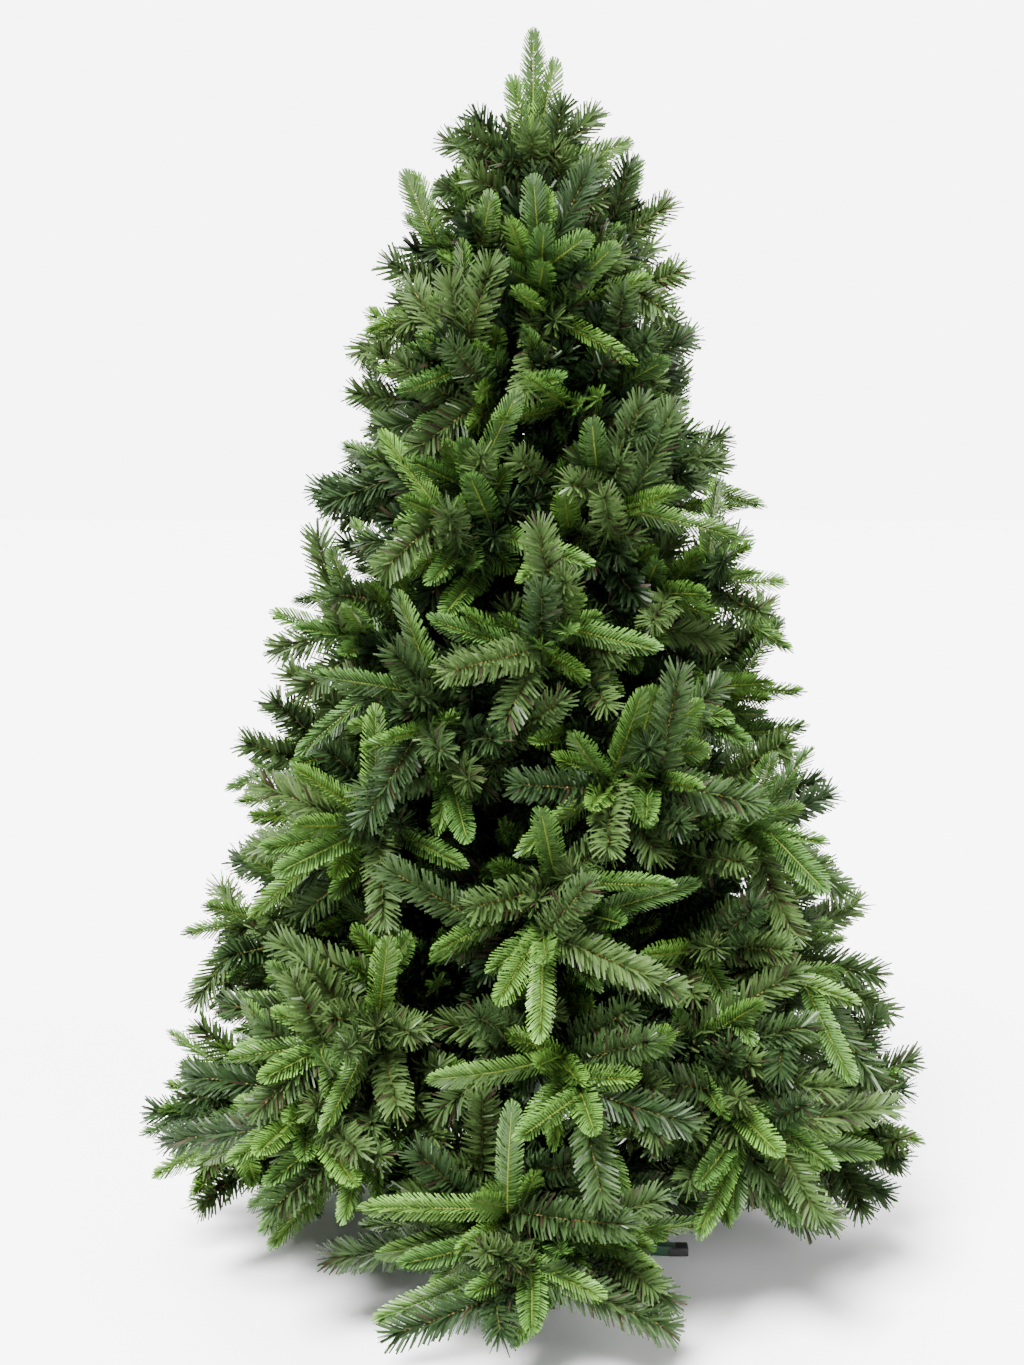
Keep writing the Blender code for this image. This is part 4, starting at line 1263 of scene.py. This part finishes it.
def wound_wire(points, thick, thin, sides, rings, pitch):
    """Corners and triangles of a wire with turns of film wound round it, closed at both ends."""
    line = [numpy.array(place) for place in smooth_line(points, pitch / rings)]
    middles = [after - before for before, after in zip(line, line[2:])]
    along = [line[1] - line[0], *middles, line[-1] - line[-2]]
    across = numpy.cross(along[0], ASKEW)
    corners, travelled = [line[0]], 0.0
    turns = numpy.arange(sides) * 2 * math.pi / sides
    for number, (place, run) in enumerate(zip(line, along)):
        run = run / numpy.linalg.norm(run)
        across = across - run * across.dot(run)
        across /= numpy.linalg.norm(across)
        beside = numpy.cross(run, across)
        travelled += numpy.linalg.norm(place - line[max(0, number - 1)])
        slope = (travelled / pitch - turns / (2 * math.pi)) % 1
        ribs = 1 + RIB_SHARE * (numpy.abs(slope - RIB_LOW) * 2 - 0.5)
        radius = mix(thick, thin, number / (len(line) - 1)) * ribs
        ring = numpy.outer(radius * numpy.cos(turns), across) + numpy.outer(radius * numpy.sin(turns), beside)
        corners.extend(place + ring)
    corners.append(line[-1])
    last = len(corners) - 1
    triangles = []
    for side in range(sides):
        other = (side + 1) % sides
        triangles += [(0, 1 + other, 1 + side), (last, last - sides + side, last - sides + other)]
    for number in range(len(line) - 1):
        triangles += bands(1 + number * sides, 1 + (number + 1) * sides, sides)
    return numpy.array(corners), numpy.array(triangles)


def smooth(piece, angle=SMOOTH_ANGLE):
    """Round shading but for edges sharper than an angle in degrees."""
    mesh = piece.data
    mesh.polygons.foreach_set("use_smooth", [True] * len(mesh.polygons))
    mesh.set_sharp_from_angle(angle=math.radians(angle))
    return piece


class TREE_OT_branch_wires(bpy.types.Operator):
    """Add the wires inside the foliage and the bare boughs of the lowest tier"""

    bl_idname = "tree.branch_wires"
    bl_label = "Branch Wires"

    def execute(self, context):
        settings = context.scene.tree_frame
        thick, pitch = settings.wire_radius, settings.wrap_pitch
        finish = wrapped("wound_film", settings.wrapping, pitch)
        inner, nodes = {}, {}

        def wind(name, points, thin):
            group = foliage_group(name)
            wire = wound_wire(points, thick * INNER_THICK, thick * thin, INNER_SIDES, INNER_RINGS, pitch)
            inner.setdefault(group, []).append(wire)
            nodes.setdefault(group, []).append(name)

        for branch in grown_crown()[0]:
            points = [branch.root, *branch.line]
            if branch.tier < BOUGH_TIERS:
                end = branch.line[1] + unit(branch.line[2] - branch.line[1]) * BOUGH_END
                bough = [branch.root, *branch.line[:2], end]
                wire = wound_wire(bough, thick, thick * BOUGH_THIN, BOUGH_SIDES, BOUGH_RINGS, pitch)
                name = branch.name.replace("foliage", "bough")
                dress(smooth(plain_mesh(name + "_wound", *wire, finish)), [name])
                points = [end, *branch.line[2:]]
            wind(branch.name, [*points, branch.line[-1].lerp(branch.tip, FORK)], INNER_THIN)
        top = [Vector((0, 0, POLE_TOP + CLEARANCE)), Vector((0, 0, TREE_HEIGHT - SINGLE_LENGTH))]
        wind("top_foliage", top, TOP_THIN)
        for group, wires in inner.items():
            piece = plain_mesh(f"branch_wires_{group}", *joined(wires), finish)
            dress(smooth(piece), nodes[group])
        return {"FINISHED"}


# ---------------------------------------------------------------- pole, hubs and stand

POLE_FOOT = 0.0535
ROUND_SIDES = 48
SWAGE = 0.012  # length over which one pole section narrows into the next
SWAGE_START, SWAGE_WIDTH = 0.4, 0.985  # share of it that is steep, and the width where that starts
CAP_HEIGHT = 0.006
CAP_EDGE = ((1, 1), (0.93, 0.3), (0.72, 0), (0, 0))  # shares of the radius, and of its height down
COLLAR_HEIGHT = 0.022
COLLAR_LIP = 0.0016
HUB_HEIGHT = 0.016
HUB_STAND_OUT = 0.0045
HUB_FILLET = 1.5  # from a hub's face to where it meets the pole, in lips
HUB_EDGE = ((1, 0), (0, 1), (0, 2.5), (1, 3))  # lips in from its edge, and in from its face
BRACKET, BRACKET_ROUND = (0.0085, 0.0115, 0.0125), 0.0012
BRACKET_SINK = 0.25  # how far its middle lies in the collar, in shares of its length
SOCKET_RADIUS, SOCKET_BORE = 0.0185, 0.0152
SOCKET_FOOT, SOCKET_TOP, SOCKET_FLOOR = 0.050, 0.175, 0.0032
SOCKET_LIP = 0.0012
SCREW_HEIGHT, SCREW_TURNS = 0.150, (45, 165, 285)
SCREW_START = 0.001  # how far a screw reaches into the bore
SCREW_SHANK = ((0, 0.034), (0.0026, 0.034), (0.0026, 0.002), (0.0026, 0.0), (0, 0.0))
SCREW_NUT = ((0.0026, 0.0092), (0.0052, 0.0088), (0.0058, 0.0080), (0.0058, 0.0042), (0.0052, 0.0036))
SHANK_SIDES, NUT_SIDES = 16, 6
RING_RADIUS, RING_THICK, RING_HEIGHT = 0.0072, 0.0018, 0.040
RING_SEGMENTS, RING_SIDES = 28, 10
BOLT_HEIGHTS = (0.062, 0.086)
BOLT_HEAD = ((0, 0.004), (0.0036, 0.0036), (0.0048, 0.0018), (0.0048, 0))
BOLT_SIDES = 20
BOLT_PLACE = 0.010  # from the socket's side
LEG_STEPS = 28
ROUND_EDGE = 0.0022  # of a leg and its foot cap
TOE_HEIGHT, TOE_TOP = 0.0112, 0.0122
TOE_SHARE = 0.4  # of the foot cap, that the leg leaves free
PAD_LENGTH, PAD_WIDER, PAD_HIGHER = 0.030, 0.0024, 0.0022
BEVEL_STEPS = 3


def turned(name, profile, sides, finish):
    """A turned piece from its profile, given as (radius, height) from the top down the outside."""
    turns = numpy.arange(sides) * 2 * math.pi / sides
    corners, rings = [], []
    for radius, height in profile:
        rings.append((len(corners), radius < ROUNDING))
        if radius < ROUNDING:
            corners.append((0, 0, height))
        else:
            corners += [(radius * math.cos(turn), radius * math.sin(turn), height) for turn in turns]
    triangles = []
    for (a, a_point), (b, b_point) in zip(rings, rings[1:]):
        for side in range(sides):
            other = (side + 1) % sides
            if not b_point:
                triangles.append((a if a_point else a + side, b + side, b + other))
            if not a_point:
                triangles.append((a + side, b if b_point else b + other, a + other))
    return smooth(plain_mesh(name, numpy.array(corners), numpy.array(triangles), finish), TURNED_ANGLE)


def merged(name, pieces):
    """Several objects as one, with their materials kept."""
    with bpy.context.temp_override(active_object=pieces[0], selected_editable_objects=pieces):
        bpy.ops.object.join()
    pieces[0].name = pieces[0].data.name = name
    return pieces[0]


def rounded(bm, edges, width):
    """Round these edges."""
    bmesh.ops.bevel(bm, geom=edges, offset=width, segments=BEVEL_STEPS, profile=0.5, affect="EDGES",
                    clamp_overlap=True)


def solid(name, bm, finish, angle):
    """A smooth object of one finish, from a finished bmesh."""
    mesh = mesh_from(bm, name)
    mesh.materials.append(finish)
    return smooth(object_of(name, mesh), angle)


def block(name, size, finish, width):
    """A block with rounded edges, centred on its own middle."""
    bm = bmesh.new()
    bmesh.ops.create_cube(bm, size=1)
    bmesh.ops.scale(bm, vec=size, verts=bm.verts)
    rounded(bm, bm.edges[:], width)
    return solid(name, bm, finish, TURNED_ANGLE)


def moved(piece, matrix):
    piece.data.transform(matrix)
    return piece


def pole_profile():
    """The pole's sections from its cap down, each narrowing into the next, with the tiers' hubs."""
    steps = [(POLE_SECTIONS[0][0], POLE_FOOT)]
    for (radius, top), (upper, _) in zip(POLE_SECTIONS, POLE_SECTIONS[1:]):
        steps += [(radius, top - SWAGE), (radius * SWAGE_WIDTH, top - SWAGE * SWAGE_START), (upper, top)]
    last = POLE_SECTIONS[-1][0]
    steps += [(last * wide, POLE_TOP - CAP_HEIGHT * down) for wide, down in CAP_EDGE]
    for tier in range(TIERS):
        middle = root_height(tier)
        radius = next(radius for radius, top in POLE_SECTIONS if middle < top)
        edge = COLLAR_RADIUS if tier < BOUGH_TIERS else radius + HUB_STAND_OUT
        half = (COLLAR_HEIGHT if tier < BOUGH_TIERS else HUB_HEIGHT) / 2
        for side in (-1, 1):
            steps.append((radius, middle + side * (half + COLLAR_LIP * HUB_FILLET)))
            for inward, down in HUB_EDGE:
                steps.append((edge - COLLAR_LIP * inward, middle + side * (half - COLLAR_LIP * down)))
    steps.sort(key=lambda step: -step[1])
    return [*steps, (0, POLE_FOOT)]


class TREE_OT_pole(bpy.types.Operator):
    """Add the pole with its hubs and the brackets that hold the wires"""

    bl_idname = "tree.pole"
    bl_label = "Pole"

    def execute(self, context):
        paint = powder_coat("green_paint", context.scene.tree_frame.paint)
        pieces = [turned("pole_tube", pole_profile(), ROUND_SIDES, paint)]
        for branch in grown_crown()[0]:
            if branch.tier < BOUGH_TIERS:
                out = outward(branch.azimuth) * (COLLAR_RADIUS - BRACKET[0] * BRACKET_SINK)
                place = Matrix.Translation(out + Vector((0, 0, root_height(branch.tier))))
                turn = Matrix.Rotation(branch.azimuth - math.pi / 2, 4, "Z")
                pieces.append(moved(block("bracket", BRACKET, paint, BRACKET_ROUND), place @ turn))
        dress(merged("pole_with_hubs", pieces), ["pole"])
        return {"FINISHED"}


def leg_outline():
    """The side of one leg, from its inner foot round: under the arch, the toe and back over."""
    near, knee = SOCKET_RADIUS + CLEARANCE, LEG_REACH - FOOT_LENGTH
    toe = LEG_REACH - PAD_LENGTH * TOE_SHARE
    under, over = [], []
    for n in range(LEG_STEPS + 1):
        part = n / LEG_STEPS
        drop = 1 - (1 - part) ** LEG_CURVE
        under.append((mix(near, knee, part), (LEG_TOP_IN - LEG_HEIGHT_IN) * (1 - drop)))
        over.append((mix(near, knee, part), mix(LEG_TOP_IN, LEG_HEIGHT_OUT, drop)))
    return [*under, (toe, 0.0), (toe, TOE_TOP), *reversed(over)]


def leg_piece(name, finish):
    """One pressed leg lying along X, with rounded edges."""
    outline = leg_outline()
    bm = bmesh.new()
    sides = [[bm.verts.new((x, y, z)) for x, z in outline] for y in (-LEG_WIDTH / 2, LEG_WIDTH / 2)]
    caps = [bm.faces.new(sides[0]), bm.faces.new(list(reversed(sides[1])))]
    for n in range(len(outline)):
        other = (n + 1) % len(outline)
        bm.faces.new((sides[0][other], sides[0][n], sides[1][n], sides[1][other]))
    bmesh.ops.recalc_face_normals(bm, faces=bm.faces[:])
    rounded(bm, [edge for cap in caps for edge in cap.edges], ROUND_EDGE)
    return solid(name, bm, finish, LEG_ANGLE)


def socket_profile():
    """The socket's tube, from its upper inner edge round the outside and the floor."""
    outer, floor = SOCKET_RADIUS - SOCKET_LIP, SOCKET_FOOT + SOCKET_FLOOR
    return [
        (SOCKET_BORE, SOCKET_TOP - SOCKET_LIP), (SOCKET_BORE + SOCKET_LIP * 0.5, SOCKET_TOP),
        (outer, SOCKET_TOP), (SOCKET_RADIUS, SOCKET_TOP - SOCKET_LIP),
        (SOCKET_RADIUS, SOCKET_FOOT + SOCKET_LIP), (outer, SOCKET_FOOT), (0, SOCKET_FOOT),
        (0, floor), (SOCKET_BORE, floor), (SOCKET_BORE, SOCKET_TOP - SOCKET_LIP),
    ]


def eye_screw(finish, turn):
    """A screw with a ring for a head, through the socket's wall."""
    screw = turned("screw", SCREW_SHANK, SHANK_SIDES, finish)
    nut = turned("nut", SCREW_NUT, NUT_SIDES, finish)
    bpy.ops.mesh.primitive_torus_add(
        major_radius=RING_RADIUS, minor_radius=RING_THICK, major_segments=RING_SEGMENTS,
        minor_segments=RING_SIDES, location=(0, 0, RING_HEIGHT), rotation=(math.pi / 2, 0, 0),
    )
    ring = bpy.context.active_object
    ring.data.transform(ring.matrix_world)
    ring.matrix_world = Matrix()
    ring.data.materials.append(finish)
    whole = merged("eye_screw", [screw, nut, smooth(ring)])
    lie = Matrix.Rotation(turn, 4, "Z") @ Matrix.Rotation(math.pi / 2, 4, "Y")
    start = Matrix.Translation((0, 0, SOCKET_BORE - SCREW_START))
    return moved(whole, Matrix.Translation((0, 0, SCREW_HEIGHT)) @ lie @ start)


class TREE_OT_stand(bpy.types.Operator):
    """Add the stand: a socket with its screws and four arched legs with capped feet"""

    bl_idname = "tree.stand"
    bl_label = "Stand"

    def execute(self, context):
        settings = context.scene.tree_frame
        paint = powder_coat("stand_paint", settings.paint)
        cap = rubber("foot_rubber", settings.rubber)
        zinc = plated("zinc_plate", settings.zinc)
        pieces = [turned("socket_tube", socket_profile(), ROUND_SIDES, paint)]
        pieces += [eye_screw(zinc, math.radians(turn)) for turn in SCREW_TURNS]
        dress(merged("socket_with_screws", pieces), ["stand_socket"])
        height = TOE_HEIGHT + PAD_HIGHER
        for index in range(LEGS):
            leg = leg_piece("leg", paint)
            foot = block("foot", (PAD_LENGTH, LEG_WIDTH + PAD_WIDER, height), cap, ROUND_EDGE)
            moved(foot, Matrix.Translation((LEG_REACH - PAD_LENGTH / 2, 0, height / 2)))
            bolts = []
            for up in BOLT_HEIGHTS:
                place = Matrix.Translation((SOCKET_RADIUS + BOLT_PLACE, -LEG_WIDTH / 2, up))
                bolt = turned("bolt", BOLT_HEAD, BOLT_SIDES, zinc)
                bolts.append(moved(bolt, place @ Matrix.Rotation(math.pi / 2, 4, "X")))
            name = f"stand_leg_{index + 1}"
            whole = merged(name + "_with_foot", [leg, foot, *bolts])
            moved(whole, Matrix.Rotation(2 * math.pi * index / LEGS, 4, "Z"))
            dress(whole, [name])
        return {"FINISHED"}


# ---------------------------------------------------------------- stage

EYE = Vector((0, -3.20, 1.28))
LOOK_AT = Vector((-0.030, 0, 0.867))
SENSOR = 36.0
FLOOR_SIZE = 40.0
KEY_PLACE = (24, -24, 52)  # apparent width, turn from the front and height, in degrees
FILL_PLACE = (40, 42, 22)
TOP_PLACE = (50, 170, 78)


def soft_light(name, strength, width, turn, height):
    """Light from far away: its strength, apparent width, turn from the front and height, in degrees."""
    light = bpy.data.lights.new(name, "SUN")
    light.energy, light.angle = strength, math.radians(width)
    away = Matrix.Rotation(math.radians(turn), 3, "Z") @ Vector((0, -1, math.tan(math.radians(height))))
    object_of(name, light).rotation_euler = away.to_track_quat("Z", "Y").to_euler()


def surround(daylight, backdrop):
    """Even light all round, which the camera itself sees at another strength."""
    world = bpy.data.worlds.new("surround")
    world.use_nodes = True
    nodes, links = world.node_tree.nodes, world.node_tree.links
    lit, seen = nodes["Background"], nodes.new("ShaderNodeBackground")
    for node, strength in ((lit, daylight), (seen, backdrop)):
        node.inputs["Color"].default_value = (1, 1, 1, 1)
        node.inputs["Strength"].default_value = strength
    rays, either = nodes.new("ShaderNodeLightPath"), nodes.new("ShaderNodeMixShader")
    links.new(rays.outputs["Is Camera Ray"], either.inputs["Fac"])
    links.new(lit.outputs[0], either.inputs[1])
    links.new(seen.outputs[0], either.inputs[2])
    links.new(either.outputs[0], nodes["World Output"].inputs["Surface"])
    return world


class TREE_OT_stage(bpy.types.Operator):
    """Add the floor, the light and the camera"""

    bl_idname = "tree.stage"
    bl_label = "Stage"

    def execute(self, context):
        settings = context.scene.tree_stage
        half = FLOOR_SIZE / 2
        corners = numpy.array([(-half, -half, 0), (half, -half, 0), (half, half, 0), (-half, half, 0)])
        finish = Finish("floor")
        finish.set(Base_Color=settings.floor, Roughness=finish.noise(size=0.5) * 0.1 + 0.75)
        plain_mesh("floor", corners, numpy.array([(0, 1, 2), (0, 2, 3)]), finish.material)
        context.scene.world = surround(settings.daylight, settings.backdrop)
        soft_light("key_light", settings.key, *KEY_PLACE)
        soft_light("fill_light", settings.fill, *FILL_PLACE)
        soft_light("top_light", settings.top, *TOP_PLACE)
        camera = bpy.data.cameras.new("camera")
        camera.lens, camera.sensor_width = settings.lens, SENSOR
        made = object_of("camera", camera)
        made.location = EYE
        made.rotation_euler = (LOOK_AT - EYE).to_track_quat("-Z", "Y").to_euler()
        context.scene.camera = made
        return {"FINISHED"}


# ---------------------------------------------------------------- add-on

OPERATORS = (
    TREE_OT_stage, TREE_OT_pole, TREE_OT_stand, TREE_OT_branch_wires, TREE_OT_moulded_tips, TREE_OT_film_tips,
)
SETTINGS = {
    "tree_moulded": MouldedTipSettings,
    "tree_film": FilmTipSettings,
    "tree_frame": FrameSettings,
    "tree_stage": StageSettings,
}


class TREE_PT_panel(bpy.types.Panel):
    """Everything that makes up the tree"""

    bl_idname = "TREE_PT_panel"
    bl_label = "Artificial Christmas Tree"
    bl_space_type = "VIEW_3D"
    bl_region_type = "UI"
    bl_category = "Tree"

    def draw(self, context):
        for operator in OPERATORS:
            self.layout.operator(operator.bl_idname)
        for name, kind in SETTINGS.items():
            box = self.layout.box()
            for setting in kind.__annotations__:
                box.prop(getattr(context.scene, name), setting)


CLASSES = (*SETTINGS.values(), *OPERATORS, TREE_PT_panel)


def register():
    for kind in CLASSES:
        bpy.utils.register_class(kind)
    for name, kind in SETTINGS.items():
        setattr(bpy.types.Scene, name, PointerProperty(type=kind))


def unregister():
    for name in SETTINGS:
        delattr(bpy.types.Scene, name)
    for kind in reversed(CLASSES):
        bpy.utils.unregister_class(kind)


def main():
    register()
    bpy.ops.tree.stage()
    bpy.ops.tree.pole()
    bpy.ops.tree.stand()
    bpy.ops.tree.branch_wires()
    bpy.ops.tree.moulded_tips()
    bpy.ops.tree.film_tips()


if __name__ == "__main__":
    main()
